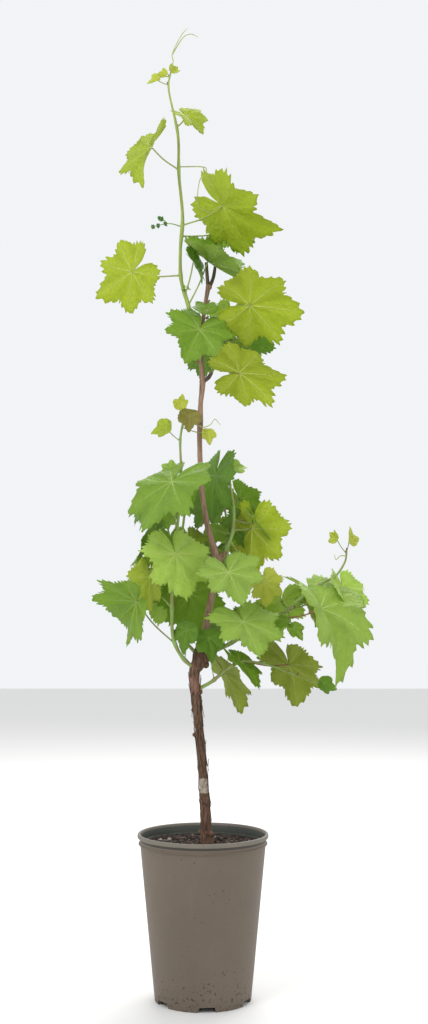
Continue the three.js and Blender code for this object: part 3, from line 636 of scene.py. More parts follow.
leafColumns = ("at", "foot", "size", "aim", "turn", "tilt", "fold", "droop", "tint", "stalk")
shoots = {
    "leader_shoot": {
        "path": [
            [-14, -3.6, 1062], [-24, -8, 1112], [-36, -8, 1156], [-37.5, -6, 1205], [-34, -4, 1262],
            [-40, -2, 1332], [-42, 0, 1400], [-57, 0, 1474], [-54, 0, 1504],
        ],
        "radii": [3, 2.9, 2.8, 2.6, 2.6, 2.4, 2.2, 1.5, 1.1],
        "seed": 101,
        "leaves": [
            (0.77, (-27, -32, 1420), 40, 129, 23, 45, 0.5, 0.68, "bright"),
            (0.64, (-84, -26, 1370), 72, 203, -64, 30, 0.52, 0.36, "bright"),
            (0.47, (33, -39, 1270), 96, 127, -52, -38, 0.33, 0.5, "bright"),
            (0.27, (-115, -32, 1164), 73, 237, 150, 7, 0.25, 0.25, "bright"),
            (0.13, (8, -22, 1184), 86, 121, 61, 52, 0.45, 0, "mid"),
            (0.18, (-15, -41, 1178), 40, 143, 70, 22, 0.42, 0.45, "dark"),
            (1, (-51, 1, 1506), 15, 40, 20, 20, 0.7, 0.1, "young"),
            (0.96, (-64, 2, 1499), 15, 300, -20, 20, 0.7, 0.1, "young"),
            (0.9, (-76, -4, 1490), 18, 262, -20, 30, 0.6, 0.4, "young"),
            (0.43, (50, 40, 1255), 48, 128, 150, 14, 0.12, 0.2, "mid"),
        ],
        "tendrils": [
            [[-54, 0, 1502], [-50, 0, 1522], [-51, 0, 1536], [-38, 1, 1564], [-27, 2, 1579]],
            [[-51, 0, 1534], [-43, -3, 1547], [-32, -5, 1562], [-20, -6, 1566], [-9, -6, 1561]],
            [
                [-40, 0, 1346], [4, -10, 1341], [-6, -14, 1318], [-9, -14, 1281], [5, -18, 1267],
                [22, -20, 1264],
            ],
        ],
        "blossom": [[-35, -4, 1245], [-56, -9, 1249], [-82, -12, 1243]],
    },
    "upper_shoot": {
        "path": [[12, -2.8, 1002], [24, 6, 1030], [31, 14, 1062], [34, 17, 1094], [34, 16, 1122]],
        "radii": [2.7, 2.5, 2.3, 2, 1.5],
        "seed": 202,
        "leaves": [
            (0.8, (75, -46, 1106), 86, 96, 168, 40, 0.06, 0.3, "bright"),
            (0.12, (-6, -36, 1069), 69, 201, 16, 34, 0.31, 0.29, "mid"),
            (0.3, (6, -22, 1102), 34, 322, 8, 46, 0.3, 0.2, "mid"),
            (0.5, (76, 46, 1066), 46, 108, -14, 22, 0.1, 0.2, "dark"),
            (0.14, (59, -42, 998), 79, 93, 155, 48, 0.03, 0.46, "bright", "redStem"),
        ],
        "fill": {
            "count": 2, "from": 0.3, "to": 0.75, "bearing": 158,
            "spread": 24, "reach": 44, "rise": 8, "size": 50,
        },
    },
    "left_shoot": {
        "path": [
            [-14, -2, 524], [-35, -10, 545], [-48, -18, 575], [-50, -18, 619], [-48, -12, 680],
            [-43, -10, 740], [-37, -10, 800], [-36, -10, 850], [-37, -10, 895], [-30, -10, 936],
        ],
        "radii": [3.2, 2.9, 2.8, 2.7, 2.6, 2.4, 2.2, 2, 1.7, 1.2],
        "seed": 303,
        "leaves": [
            (0.19, (-108, -13, 632), 71, 226, -47, -23, 0.73, 0.02, "mid"),
            (0.08, (-24, -23, 587), 38, 196, -30, 14, 0.3, 0.3, "dark"),
            (0.4, (-44, -42, 708), 77, 163, 29, 28, 0.15, 0.39, "fresh"),
            (0.34, (-88, 35, 672), 59, 182, -47, 1, 0.29, 0.24, "bright"),
            (0.56, (-49, -57, 822), 97, 217, -42, 46, 0.16, 0.61, "mid"),
            (0.76, (-52, -8, 846), 22, 300, -20, 30, 0.3, 0.2, "light"),
            (1, (-36, -13, 948), 20, 8, -10, 10, 0.6, 0.1, "young"),
            (0.96, (-23, -22, 932), 30, 180, 10, 20, 0.45, 0.2, "bronze"),
            (0.88, (-60, -8, 914), 28, 256, -24, 26, 0.3, 0.3, "bright"),
            (0.94, (7, -18, 904), 20, 168, 20, 16, 0.5, 0.2, "young"),
        ],
        "tendrils": [
            [[-31, -10, 928], [-2, -18, 914], [12, -17, 918], [19, -14, 927], [28, -10, 918]],
        ],
        "fill": {
            "count": 1, "from": 0.5, "to": 0.5, "bearing": 205,
            "spread": 20, "reach": 44, "rise": 10, "size": 64,
        },
    },
    "middle_shoot": {
        "path": [[36.6, -1.6, 714], [48, -3, 744], [50, 8, 780], [45, 15, 815], [42, 18, 846]],
        "radii": [2.7, 2.6, 2.4, 2.1, 1.6],
        "seed": 404,
        "leaves": [
            (0.72, (20, 46, 840), 78, 194, -62, 13, 0.16, 0.62, "dark"),
            (1, (50, 18, 850), 26, 80, 10, 44, 0.3, 0.2, "light"),
            (0.28, (79, 4, 751), 77, 182, 140, -1, 0.38, 0.09, "bright"),
            (0.24, (22, 32, 748), 30, 204, 0, 20, 0.2, 0.2, "mid"),
            (0.3, (60, 22, 740), 26, 150, 30, 20, 0.3, 0.2, "dark"),
            (0.06, (41, -65, 679), 64, 154, 4, 44, 0.3, 0.25, "light"),
            (0.14, (98, -12, 664), 40, 171, 25, 11, 0.29, 0.27, "young"),
        ],
        "fill": {
            "count": 1, "from": 0.4, "to": 0.4, "bearing": 110,
            "spread": 20, "reach": 36, "rise": -14, "size": 50,
        },
    },
    "right_shoot": {
        "path": [
            [4, 6, 545], [40, 10, 562], [85, 4, 588], [128, -2, 612], [156, -6, 637], [190, -4, 661],
            [214, 0, 673], [230, 4, 696], [233, 4, 714],
        ],
        "radii": [3.2, 3, 2.8, 2.6, 2.4, 2.2, 2, 1.6, 1.2],
        "seed": 505,
        "leaves": [
            (0.14, (63, -72, 601), 75, 151, 18, 52, 0.24, 0.26, "light"),
            (0.37, (127, -20, 604), 22, 206, 0, 30, 0.3, 0.2, "mid"),
            (0.41, (144, -22, 590), 24, 138, 20, 30, 0.3, 0.2, "light"),
            (0.34, (188, -39, 621), 112, 149, 52, 38, 0.73, 0.92, "light", "redStem"),
            (0.72, (227, 22, 655), 54, 162, 52, 29, 0.39, 0.09, "fresh"),
            (0.97, (216, 2, 734), 18, 320, -50, 10, 0.6, 0.1, "young"),
            (1, (238, 6, 732), 26, 8, 56, 10, 0.5, 0.1, "young"),
        ],
        "tendrils": [
            [[232, 4, 706], [222, -4, 706], [215, -6, 700], [212, -6, 708]],
        ],
        "fill": {
            "count": 2, "from": 0.2, "to": 0.4, "bearing": 172,
            "spread": 20, "reach": 50, "rise": 6, "size": 52,
        },
    },
    "low_shoot": {
        "path": [
            [-8, 3, 491], [14, 6, 503], [31, 6, 517], [48, 2, 529], [68, -2, 536], [108, -12, 530],
            [150, -16, 514],
        ],
        "radii": [3.1, 2.9, 2.7, 2.5, 2.2, 1.7, 1.2],
        "seed": 606,
        "leaves": [
            (0.3, (35, 43, 515), 70, 147, 113, 34, 0.21, 0.37, "olive"),
            (0.5, (59, -8, 535), 52, 134, 68, 48, 0.25, 0.37, "mid"),
            (0.66, (139, 16, 530), 74, 160, 142, 34, 0.2, 0.24, "olive", "redStem"),
            (0.2, (8, -20, 574), 39, 168, 20, 12, 0.3, 0.3, "dark"),
            (1, (192, -22, 501), 24, 112, 20, 20, 0.3, 0.2, "dark"),
        ],
    },
    "back_left_shoot": {
        "path": [
            [-9, 7, 545], [-34, 46, 576], [-46, 84, 636], [-42, 104, 706], [-32, 112, 786],
            [-28, 110, 842],
        ],
        "radii": [3.1, 2.9, 2.7, 2.4, 2, 1.4],
        "seed": 717,
        "leaves": [
            (0.2, (-24, 77, 645.5), 72, 160, 4, 20, 0.1, 0.2, "mid"),
        ],
        "fill": {
            "count": 3, "from": 0.36, "to": 0.86, "bearing": 208,
            "spread": 34, "reach": 50, "rise": 6, "size": 62,
        },
    },
    "back_right_shoot": {
        "path": [[16.5, 8, 655], [30, 46, 680], [38, 78, 724], [38, 92, 772], [30, 98, 816]],
        "radii": [2.9, 2.7, 2.4, 2, 1.4],
        "seed": 808,
        "leaves": [],
        "fill": {
            "count": 3, "from": 0.3, "to": 0.86, "bearing": 152,
            "spread": 30, "reach": 50, "rise": 2, "size": 60,
        },
    },
}

twigLook = {
    "radii": (1.7, 1.275),
    "sag": 0.05,
    "leavesAt": (0.55, 1),
    "heading": (0.7, 1),
    "length": (0.527, 0.713),
    "lift": (0, 8),
    "swing": (34, 48),
    "climb": (10, 26),
    "stalk": (0.576, 0.864),
    "size": (0.86, 1.16),
    "aimSwing": 40,
    "aim": (168, 192),
    "tilt": (24, 42),
    "fold": (0.08, 0.16),
    "droop": (0.16, 0.3),
    "tints": ("mid", "dark", "light", "olive"),
    "steps": 12,
    "sides": 8,
}
stalkLook = {
    "bendAt": 0.55,
    "bend": 0.06,
    "depth": -0.9,
    "radius": 1.25,
    "smallRadius": 0.8,
    "footSwell": (0.5, 14),
    "tipTaper": (0.3, 16),
    "steps": 14,
    "sides": 7,
}
shootLook = {
    "nodeSwell": (0.28, 42),
    "ridges": (0.04, 3),
    "sides": 12,
    "steps": 14,
}
tendrilLook = {"radii": (1.05, 0.5), "steps": 12, "sides": 6}


def makeLeaf(row, start, draw):
    leaf = dict(row)
    leaf["from"] = start
    leaf["foot"] = Vector(row["foot"])
    leaf["frame"] = bladeFrame(row)
    leaf["phase"] = draw() * pi * 2
    return leaf


def sideTwigs(fill, stem, draw):
    twigs = []
    for k, share in enumerate(np.linspace(fill["from"], fill["to"], fill["count"])):
        root = curvePoint(stem, share)
        side = 1 if k % 2 == 0 else -1
        heading = fill["bearing"] + side * fill["spread"] * between(draw, twigLook["heading"])
        length = fill["reach"] * between(draw, twigLook["length"])
        tip = root + towards(heading, fill["rise"] + between(draw, twigLook["lift"])) * length
        path = [root, (root + tip) / 2 - up * twigLook["sag"] * length, tip]
        leaves = []
        for index, at in enumerate(twigLook["leavesAt"]):
            turn = heading + (-side if index == 0 else side) * between(draw, twigLook["swing"])
            climb = fill["rise"] + between(draw, twigLook["climb"])
            start = curvePoint(path, at)
            row = {"turn": turn, "tint": twigLook["tints"][(k * 2 + index) % len(twigLook["tints"])]}
            row["foot"] = start + towards(turn, climb) * fill["reach"] * between(draw, twigLook["stalk"])
            row["size"] = fill["size"] * between(draw, twigLook["size"])
            row["aim"] = between(draw, twigLook["aim"]) - twigLook["aimSwing"] * sin(radians(turn))
            for key in ("tilt", "fold", "droop"):
                row[key] = between(draw, twigLook[key])
            leaves.append(makeLeaf(row, start, draw))
        twigs.append({"path": path, "leaves": leaves})
    return twigs


def addStalk(draft, leaf, finish):
    start, foot = leaf["from"], leaf["foot"]
    radius = stalkLook["smallRadius"] if leaf["size"] < bladeLook["smallSize"] else stalkLook["radius"]
    bend = start.lerp(foot, stalkLook["bendAt"]) - up * stalkLook["bend"] * (start - foot).length
    seat = foot + leaf["frame"]["face"] * stalkLook["depth"]
    swell, swellRate = stalkLook["footSwell"]
    taper, taperRate = stalkLook["tipTaper"]

    def stalkRadius(share, angle):
        return radius * (1 + swell * exp(-share * swellRate) - taper * exp(-(1 - share) * taperRate))

    points = sampled([start, bend, seat], stalkLook["steps"])
    addTube(draft, points, stalkRadius, stalkLook["sides"], finish)


def buildShoot(name, shoot):
    draw = randomFrom(shoot["seed"])
    stem = [Vector(point) for point in shoot["path"]]
    stemFinish = "leaderStem" if name == "leader_shoot" else "greenStem"
    rows = [dict(zip(leafColumns, values)) for values in shoot["leaves"]]
    leaves = [makeLeaf(row, curvePoint(stem, row["at"]), draw) for row in rows]
    joints = [row["at"] for row in rows] + [0.0]
    swell, sharpness = shootLook["nodeSwell"]
    ridge, ridges = shootLook["ridges"]

    def stemRadius(share, angle):
        nodes = min(1, sum(exp(-(((share - joint) * sharpness) ** 2)) for joint in joints))
        return listAlong(shoot["radii"], share) * (1 + swell * nodes) * (1 + ridge * cos(ridges * angle))

    wood, blades = newDraft(), newDraft()
    addTube(wood, sampled(stem, shootLook["steps"] * len(stem)), stemRadius, shootLook["sides"], stemFinish)
    for twig in sideTwigs(shoot["fill"], stem, draw) if "fill" in shoot else []:
        points = sampled(twig["path"], twigLook["steps"])
        addTube(wood, points, alongList(twigLook["radii"]), twigLook["sides"], stemFinish)
        leaves.extend(twig["leaves"])
    for leaf in leaves:
        addStalk(wood, leaf, leaf.get("stalk", stemFinish))
        addBlade(blades, leaf)
        growSideBud(wood, blades, leaf, draw)
    for path in shoot.get("tendrils", []):
        points = sampled(path, tendrilLook["steps"] * (len(path) - 1))
        addTube(wood, points, alongList(tendrilLook["radii"]), tendrilLook["sides"], "tendril")
    pieces = [pieceFrom(name + "_leaves", blades), pieceFrom(name + "_stems", wood)]
    if "blossom" in shoot:
        pieces.append(buildBlossom(name, shoot["blossom"], draw))
    for piece in pieces:
        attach(piece, "root")
        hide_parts(name)


# where a stalk leaves its stem there is a bud, and here and there a finer twig with two tiny leaves
sideBudLook = {
    "leastStalk": 6,
    "lean": 0.5,
    "offset": 3.2,
    "length": 5,
    "radius": 1.7,
    "twigChance": 0.22,
    "twigLength": (7, 13),
    "twigBow": 1.5,
    "twigRadii": (0.9, 0.6),
    "twigSteps": 6,
    "twigSides": 6,
    "leafSize": (7, 10),
    "leafSpread": 40,
    "leafClimb": 40,
    "leafReach": 4,
    "leafAim": 60,
    "leafTurn": 50,
    "leaf": {"tilt": 20, "fold": 0.9, "droop": 0.2, "tint": "light"},
}


def growSideBud(wood, blades, leaf, draw):
    look, start = sideBudLook, leaf["from"]
    outward = leaf["foot"] - start
    if outward.length < look["leastStalk"]:
        return
    axis = (outward.normalized() * look["lean"] + up).normalized()
    addBead(wood, start + axis * look["offset"], axis, look["length"], look["radius"], "bud")
    if draw() > look["twigChance"] or leaf["size"] < bladeLook["smallSize"]:
        return
    tip = start + axis * between(draw, look["twigLength"])
    middle = start.lerp(tip, 0.5) - outward.normalized() * look["twigBow"]
    points = sampled([start, middle, tip], look["twigSteps"])
    addTube(wood, points, alongList(look["twigRadii"]), look["twigSides"], "greenStem")
    for side in (-1, 1):
        size = between(draw, look["leafSize"])
        turn = degrees(atan2(outward.x, -outward.y)) + side * look["leafSpread"]
        foot = tip + towards(turn, look["leafClimb"]) * look["leafReach"]
        row = {"foot": foot, "size": size, "aim": side * look["leafAim"], "turn": side * look["leafTurn"]}
        small = makeLeaf({**row, **look["leaf"]}, tip, draw)
        addStalk(wood, small, "greenStem")
        addBlade(blades, small)


# unopened blossom: a stalk with a side branch, and small beads in loose groups along both
blossomLook = {
    "beads": 15,
    "beadRadius": (1.1, 1.9),
    "beadLength": 2.4,
    "spread": 3.6,
    "distance": (0.4, 1),
    "turn": 2.4,
    "wander": 1.7,
    "flatness": 0.8,
    "beadSides": 8,
    "stalkRadii": (1.1, 0.6),
    "stalkSteps": 24,
    "stalkSides": 8,
    "threadRadii": (0.35, 0.35),
    "threadSides": 4,
    "branchAt": 0.55,
    "branchTip": (10, 1, 14),
    "branchLift": 2,
    "branchSteps": 10,
    "groups": ((0, 0.62), (0, 0.84), (0, 1), (1, 0.7), (1, 1)),
}


def buildBlossom(name, path, draw):
    look = blossomLook
    draft = newDraft()
    axis = sampled(path, look["stalkSteps"])
    fork = curvePoint(axis, look["branchAt"])
    branchTip = axis[-1] + Vector(look["branchTip"])
    middle = fork.lerp(branchTip, 0.5) + up * look["branchLift"]
    branch = sampled([fork, middle, branchTip], look["branchSteps"])
    for line in (axis, branch):
        addTube(draft, line, alongList(look["stalkRadii"]), look["stalkSides"], "greenStem")
    for line, share in look["groups"]:
        root = curvePoint((axis, branch)[line], share)
        for k in range(look["beads"]):
            turn = k * look["turn"]
            aside = look["flatness"] * sin(turn * look["wander"])
            side = Vector((aside, cos(turn), sin(turn))).normalized()
            middle = root + side * look["spread"] * between(draw, look["distance"])
            thread = [root, root.lerp(middle, 0.5), middle]
            addTube(draft, thread, alongList(look["threadRadii"]), look["threadSides"], "greenStem")
            size = between(draw, look["beadRadius"])
            addBead(draft, middle, side, size * look["beadLength"], size, "blossom", look["beadSides"])
    return pieceFrom(name + "_blossom", draft)


for shootName, shoot in shoots.items():
    buildShoot(shootName, shoot)
    print("shoot built:", shootName)


# bark and wood

# each finish: its name, its colours from deep to pale, its stretch, scale, roughness and depth
grainFinishes = {
    "bark": (
        "flaking bark",
        ((0.016, 0.009, 0.006), (0.092, 0.046, 0.025), (0.195, 0.112, 0.064), (0.27, 0.205, 0.145)),
        0.16, 420, 0.85, 0.0016,
    ),
    "smoothBark": (
        "reddish bark",
        ((0.08, 0.035, 0.022), (0.17, 0.075, 0.045), (0.26, 0.14, 0.09), (0.36, 0.24, 0.17)),
        0.12, 300, 0.6, 0.0006,
    ),
    "cane": (
        "brown cane",
        ((0.11, 0.055, 0.035), (0.26, 0.15, 0.095), (0.37, 0.24, 0.16), (0.48, 0.36, 0.26)),
        0.07, 330, 0.55, 0.0005,
    ),
    # a darker cane for the fork's prongs and the spur stub: painted shade, where the fork lies in shade
    "shadedCane": (
        "cane darkened by painted shade",
        ((0.03, 0.018, 0.014), (0.085, 0.055, 0.042), (0.14, 0.098, 0.078), (0.22, 0.17, 0.14)),
        0.09, 330, 0.7, 0.0006,
    ),
    "scar": (
        "pale scar",
        ((0.16, 0.12, 0.09), (0.33, 0.27, 0.22), (0.42, 0.37, 0.31), (0.5, 0.46, 0.4)),
        0.3, 260, 0.8, 0.0006,
    ),
    "cutWood": (
        "cut wood",
        ((0.02, 0.014, 0.01), (0.055, 0.04, 0.03), (0.09, 0.065, 0.05), (0.14, 0.10, 0.08)),
        1, 500, 0.9, 0.0005,
    ),
    "compost": (
        "dark compost",
        ((0.008, 0.005, 0.004), (0.03, 0.018, 0.012), (0.06, 0.036, 0.024), (0.10, 0.065, 0.045)),
        1, 240, 0.95, 0.002,
    ),
    "chip": (
        "reddish chips",
        ((0.04, 0.018, 0.012), (0.10, 0.046, 0.028), (0.155, 0.08, 0.05), (0.22, 0.14, 0.10)),
        0.3, 260, 0.85, 0.0006,
    ),
    "grit": (
        "pale grit",
        ((0.22, 0.2, 0.17), (0.34, 0.31, 0.27), (0.42, 0.39, 0.34), (0.5, 0.47, 0.42)),
        1, 300, 0.9, 0.0004,
    ),
}
barkLook = {
    "grain": (8, 0.68),
    "steps": (0.34, 0.49, 0.63, 0.8),
    "patches": (0.16, 3, 0.6),
    "patchMask": ((0.45, 0), (0.75, 0.6)),
    "strength": 0.8,
}


def barkMaterial(name, colors, stretch, scale, roughness, depth):
    material, tree, shader, coords = startMaterial(name, roughness)
    fibres = noisePattern(tree, stretched(tree, coords, stretch), scale, *barkLook["grain"])
    wood = colorSteps(tree, fibres, list(zip(barkLook["steps"], colors)))
    share, detail, rough = barkLook["patches"]
    patches = noisePattern(tree, coords, scale * share, detail, rough)
    wood = mixedColors(tree, greySteps(tree, patches, barkLook["patchMask"]), wood, colors[1])
    tree.links.new(wood, shader.inputs["Base Color"])
    bumped(tree, shader, fibres, barkLook["strength"], depth)
    return material


for finish, row in grainFinishes.items():
    finishes[finish] = barkMaterial(*row)

limbs = {
    "trunk": {
        "path": [
            [6, 0, 244.3], [5.4, 0, 258], [3.5, 0, 300], [0, 0, 350], [-4.5, 0, 410], [-10.5, 0, 470],
            [-13.5, 0, 500], [-14, 0, 519], [-8, 0, 533], [-3, 0, 547], [1, 1, 560], [2, 1, 568],
        ],
        "radii": [12.5, 9.2, 8.3, 7.4, 7, 6.9, 8, 9, 11.6, 13.2, 12.2, 8.4],
        "steps": 26,
    },
    "lower_cane": {
        "path": [
            [1, 1, 556], [3.5, 2, 580], [7, 2, 606], [16, 4, 651], [22.5, 4, 686], [21, 3, 706],
            [15, 2, 727], [5, 0, 764], [-3, 0, 823], [-5.6, 0, 886], [-5, 0, 921],
        ],
        "radii": [7, 6, 5.6, 5.3, 6.6, 7.4, 5.2, 4.6, 4.3, 4.1, 5.1],
        "steps": 30,
    },
    "upper_cane": {
        "path": [
            [-5, 0, 921.3], [-4, 0, 955], [-1, 0, 990], [-3, 0, 1022], [-4, 0, 1057], [0, 0, 1095],
            [5, 0, 1128], [9, 0, 1149],
        ],
        "radii": [5.1, 3.9, 5, 3.7, 3.9, 3.5, 3.4, 4.6],
        "steps": 22,
    },
    "left_prong": {
        "path": [[8, 0, 1146], [6.4, 0, 1165], [5, 0, 1187]],
        "radii": [3.4, 2.9, 2.7],
        "steps": 5,
    },
    "right_prong": {
        "path": [[10, 0, 1146], [16.5, 0, 1162], [20, 0, 1184]],
        "radii": [3.3, 2.9, 2.6],
        "steps": 5,
    },
    "leader_stub": {
        "path": [[-4, 0, 1046], [-11, -2, 1054], [-15, -4, 1067]],
        "radii": [4.2, 3.9, 3.1],
        "steps": 6,
    },
    "spur_stub": {
        "path": [[-1, 0, 990], [8, -2, 996], [14, -3, 1005]],
        "radii": [3.8, 3.4, 2.8],
        "steps": 6,
    },
    "middle_spur": {
        "path": [[21, 3, 697], [31, 0, 705], [38, -2, 717]],
        "radii": [4.6, 3.8, 3],
        "steps": 6,
    },
}

limbLook = {
    "trunk": {"voxel": 1.0, "ridge": 1.0, "finish": "bark", "slot": "trunk_bark"},
    "cane": {"voxel": 0.85, "ridge": 0.25, "finish": "cane", "slot": "cane_wood"},
    "sides": 24,
    "fineness": 5,
    "grains": ((260, 34, 0.9), (620, 120, 0.45), (70, 70, 0.8)),
    "smoothFoot": 4,
    # the prongs and the spur stub take the darker cane, which is painted shade
    "shadedStubs": ("left_prong", "right_prong", "spur_stub"),
    "cutEnds": ("left_prong", "right_prong", "leader_stub", "spur_stub"),
    "cut": {"depth": 0.8, "facing": 0.6},
    "smoothBand": {"from": 485, "to": 512, "wave": 3, "waves": 0.9},
    "scar": {"from": 326, "to": 349, "facing": -0.35, "wave": 0.3, "waves": 0.7},
}
# burls and knobs: where, how big, and how flat along the limb
limbKnobs = {
    "trunk": [
        ((-9, -3, 530), 6.5, 1.2), ((7, -5, 541), 6, 1), ((3, -7, 552), 5.5, 1.1), ((-3, 6, 540), 7, 0.9),
        ((8, 4, 553), 5, 0.9), ((-11, 1, 544), 4.5, 1.1), ((2, -3, 562), 7, 0.8), ((4, 6, 530), 6, 1.1),
        ((-10.5, -1, 434), 4.2, 1.2), ((-13, 0, 418), 3.6, 1.1), ((-9, -4, 447), 3.2, 1),
        ((-16, -2, 458), 3, 1), ((-8, 4, 486), 8, 0.35), ((-13, -2, 486), 8, 0.3),
        ((8, -4, 262), 6, 1.6), ((-1, 4, 262), 6, 1.5),
        ((3, -6, 312), 4, 1.4), ((-3, 4, 372), 4, 1.6), ((1.5, -4, 346), 3.6, 1.3),
    ],
    "lower_cane": [
        ((22, 3, 690), 7.5, 0.8), ((16, -1, 698), 5, 1), ((27, 2, 702), 5, 0.9), ((22, 8, 697), 5, 1),
        ((26, -2, 690), 3.6, 1.2), ((14, 4, 704), 4.2, 0.9), ((3, 2, 566), 8, 0.7),
        ((-5.5, 0, 919), 5.2, 0.5),
    ],
    "upper_cane": [
        ((-5, 0, 925), 5.4, 0.5), ((-1, 0, 990), 5.6, 0.8), ((-4, -1, 1048), 5, 0.8),
        ((9, 0, 1146), 5.4, 0.8), ((4, -1, 1122), 3.9, 0.7),
    ],
    "leader_stub": [((-11, -2, 1054), 4.4, 0.8)],
    "spur_stub": [((8, -2, 996), 4, 0.8)],
    "middle_spur": [((31, 0, 705), 4.4, 0.8), ((24, 2, 700), 4.8, 0.8)],
}
knobLook = {"detail": 3, "turns": (0.3, 0.2, 1)}


def selectOnly(*pieces):
    for each in bpy.context.selected_objects:
        each.select_set(False)
    for each in pieces:
        each.select_set(True)
    bpy.context.view_layer.objects.active = pieces[-1]


def editWhole():
    bpy.ops.object.mode_set(mode="EDIT")
    bpy.ops.mesh.select_all(action="SELECT")


def addKnob(place, radius, flat, turn):
    bpy.ops.mesh.primitive_ico_sphere_add(
        subdivisions=knobLook["detail"], radius=radius * mm, location=Vector(place) * mm
    )
    knob = bpy.context.object
    knob.scale = (1, 1, flat)
    knob.rotation_euler = [turn * share for share in knobLook["turns"]]
    return knob


def barkRelief(point, ridge):
    relief = 0
    for across, along, share in limbLook["grains"]:
        relief += share * noise.noise(Vector((point.x * across, point.y * across, point.z * along)))
    return relief * ridge * mm


def buildLimb(name, limb):
    kind = limbLook["trunk" if name == "trunk" else "cane"]
    path = [Vector(point) for point in limb["path"]]
    draft = newDraft()
    points = sampled(path, limbLook["fineness"] * limb["steps"])
    addTube(draft, points, alongList(limb["radii"]), limbLook["sides"], kind["finish"])
    piece = pieceFrom(name + "_wood", draft)
    knobs = [addKnob(*knob, index) for index, knob in enumerate(limbKnobs.get(name, []))]
    selectOnly(*knobs, piece)
    if knobs:
        bpy.ops.object.join()
    remesh = piece.modifiers.new("one skin", "REMESH")
    remesh.mode = "VOXEL"
    remesh.voxel_size = kind["voxel"] * mm
    bpy.ops.object.modifier_apply(modifier=remesh.name)
    mesh = piece.data
    normals = [vertex.normal.copy() for vertex in mesh.vertices]
    lowest = min(vertex.co.z for vertex in mesh.vertices)
    for vertex, normal in zip(mesh.vertices, normals):
        fade = min(1, (vertex.co.z - lowest) / (limbLook["smoothFoot"] * mm)) if name == "trunk" else 1
        vertex.co += normal * barkRelief(vertex.co, kind["ridge"]) * fade
    mesh.materials.clear()
    ownFinish = "shadedCane" if name in limbLook["shadedStubs"] else kind["finish"]
    for finish in (ownFinish, "smoothBark", "scar", "cutWood"):
        mesh.materials.append(finishes[finish])
    for face in mesh.polygons:
        face.use_smooth = True
        face.material_index = limbFinish(name, face, path[-1], (path[-1] - path[-2]).normalized())
    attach(piece, "root")
    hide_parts(name)


# which finish a face of a limb takes: 0 its own, 1 smooth bark, 2 scar, 3 cut end
def limbFinish(name, face, top, tipAxis):
    centre = face.center / mm
    band, scar, cut = limbLook["smoothBand"], limbLook["scar"], limbLook["cut"]
    if name == "trunk":
        if band["from"] < centre.z + band["wave"] * sin(centre.x * band["waves"]) < band["to"]:
            return 1
        facing = scar["facing"] + scar["wave"] * sin(centre.z * scar["waves"])
        return 2 if scar["from"] < centre.z < scar["to"] and face.normal.y < facing else 0
    nearTip = (centre - top).dot(tipAxis) > -cut["depth"]
    return 3 if name in limbLook["cutEnds"] and nearTip and face.normal.dot(tipAxis) > cut["facing"] else 0


for limbName, limb in limbs.items():
    buildLimb(limbName, limb)
print("trunk and canes built")


# strips of bark that have come loose on the trunk, and buds at the nodes of the cane
stripLook = {
    "count": 64,
    "seed": 77,
    "heights": (268, 478),
    "length": (16, 52),
    "width": (1.2, 3.2),
    "lift": (0.4, 3.4),
    "twist": 0.5,
    "gap": 0.35,
    "curl": 2.2,
    "steps": 8,
    "spineSteps": 400,
    "section": ((-1, 0), (0, 0.5), (1, 0), (0, -0.4)),
    "ends": (0.12, 0.76),
}


def buildBarkStrips():
    look = stripLook
    draft = newDraft()
    draw = randomFrom(look["seed"])
    trunk = limbs["trunk"]
    spine = sampled(trunk["path"], look["spineSteps"])
    blunt, taper = look["ends"]
    for _ in range(look["count"]):
        keys = ("heights", "length", "width", "lift")
        start, length, width, lift = (between(draw, look[key]) for key in keys)
        turn = draw() * 2 * pi
        twist = (draw() - 0.5) * look["twist"]
        looseTop = draw() > 0.5
        rims = []
        for step in range(look["steps"] + 1):
            share = step / look["steps"]
            height = start + length * share
            centre = min(spine, key=lambda point: abs(point.z - height))
            radius = listAlong(trunk["radii"], spine.index(centre) / look["spineSteps"])
            free = share if looseTop else 1 - share
            out = radius + look["gap"] + lift * free ** look["curl"]
            wide = width * sin(pi * (blunt + taper * share)) / 2
            for across, rise in look["section"]:
                spot = turn + twist * share + across * wide / radius
                reach = out + rise
                place = (centre.x + reach * sin(spot), centre.y - reach * cos(spot), height)
                rims.append(Vector(place) * mm)
        addSurface(draft, rims, tubeFaces(look["steps"] + 1, len(look["section"])), "bark")
    piece = pieceFrom("trunk_bark_strips", draft)
    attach(piece, "root")


buildBarkStrips()

caneBuds = [
    ((27.5, -3, 706), (0.7, -0.5, 0.5)), ((12.5, -1, 702), (-0.8, -0.3, 0.5)),
    ((-9.5, -1, 925), (-0.7, -0.2, 0.7)), ((-9, -1, 1022), (-0.8, -0.3, 0.5)),
    ((8.5, -1, 1122), (0.8, -0.3, 0.6)), ((19, 3, 661), (0.8, 0.2, 0.6)),
    ((3, -2, 760), (-0.7, -0.4, 0.6)), ((0.5, 0, 826), (0.8, -0.3, 0.5)),
    ((6.5, -2.5, 1095), (0.6, -0.5, 0.6)),
]
caneBudLook = {"length": 8, "radius": 2.3, "sides": 10}


def buildCaneBuds():
    draft = newDraft()
    length, radius, sides = (caneBudLook[key] for key in ("length", "radius", "sides"))
    for place, axis in caneBuds:
        addBead(draft, Vector(place), Vector(axis).normalized(), length, radius, "bud", sides)
    piece = pieceFrom("cane_buds", draft)
    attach(piece, "root")


buildCaneBuds()
print("bark strips and buds built")


# pot

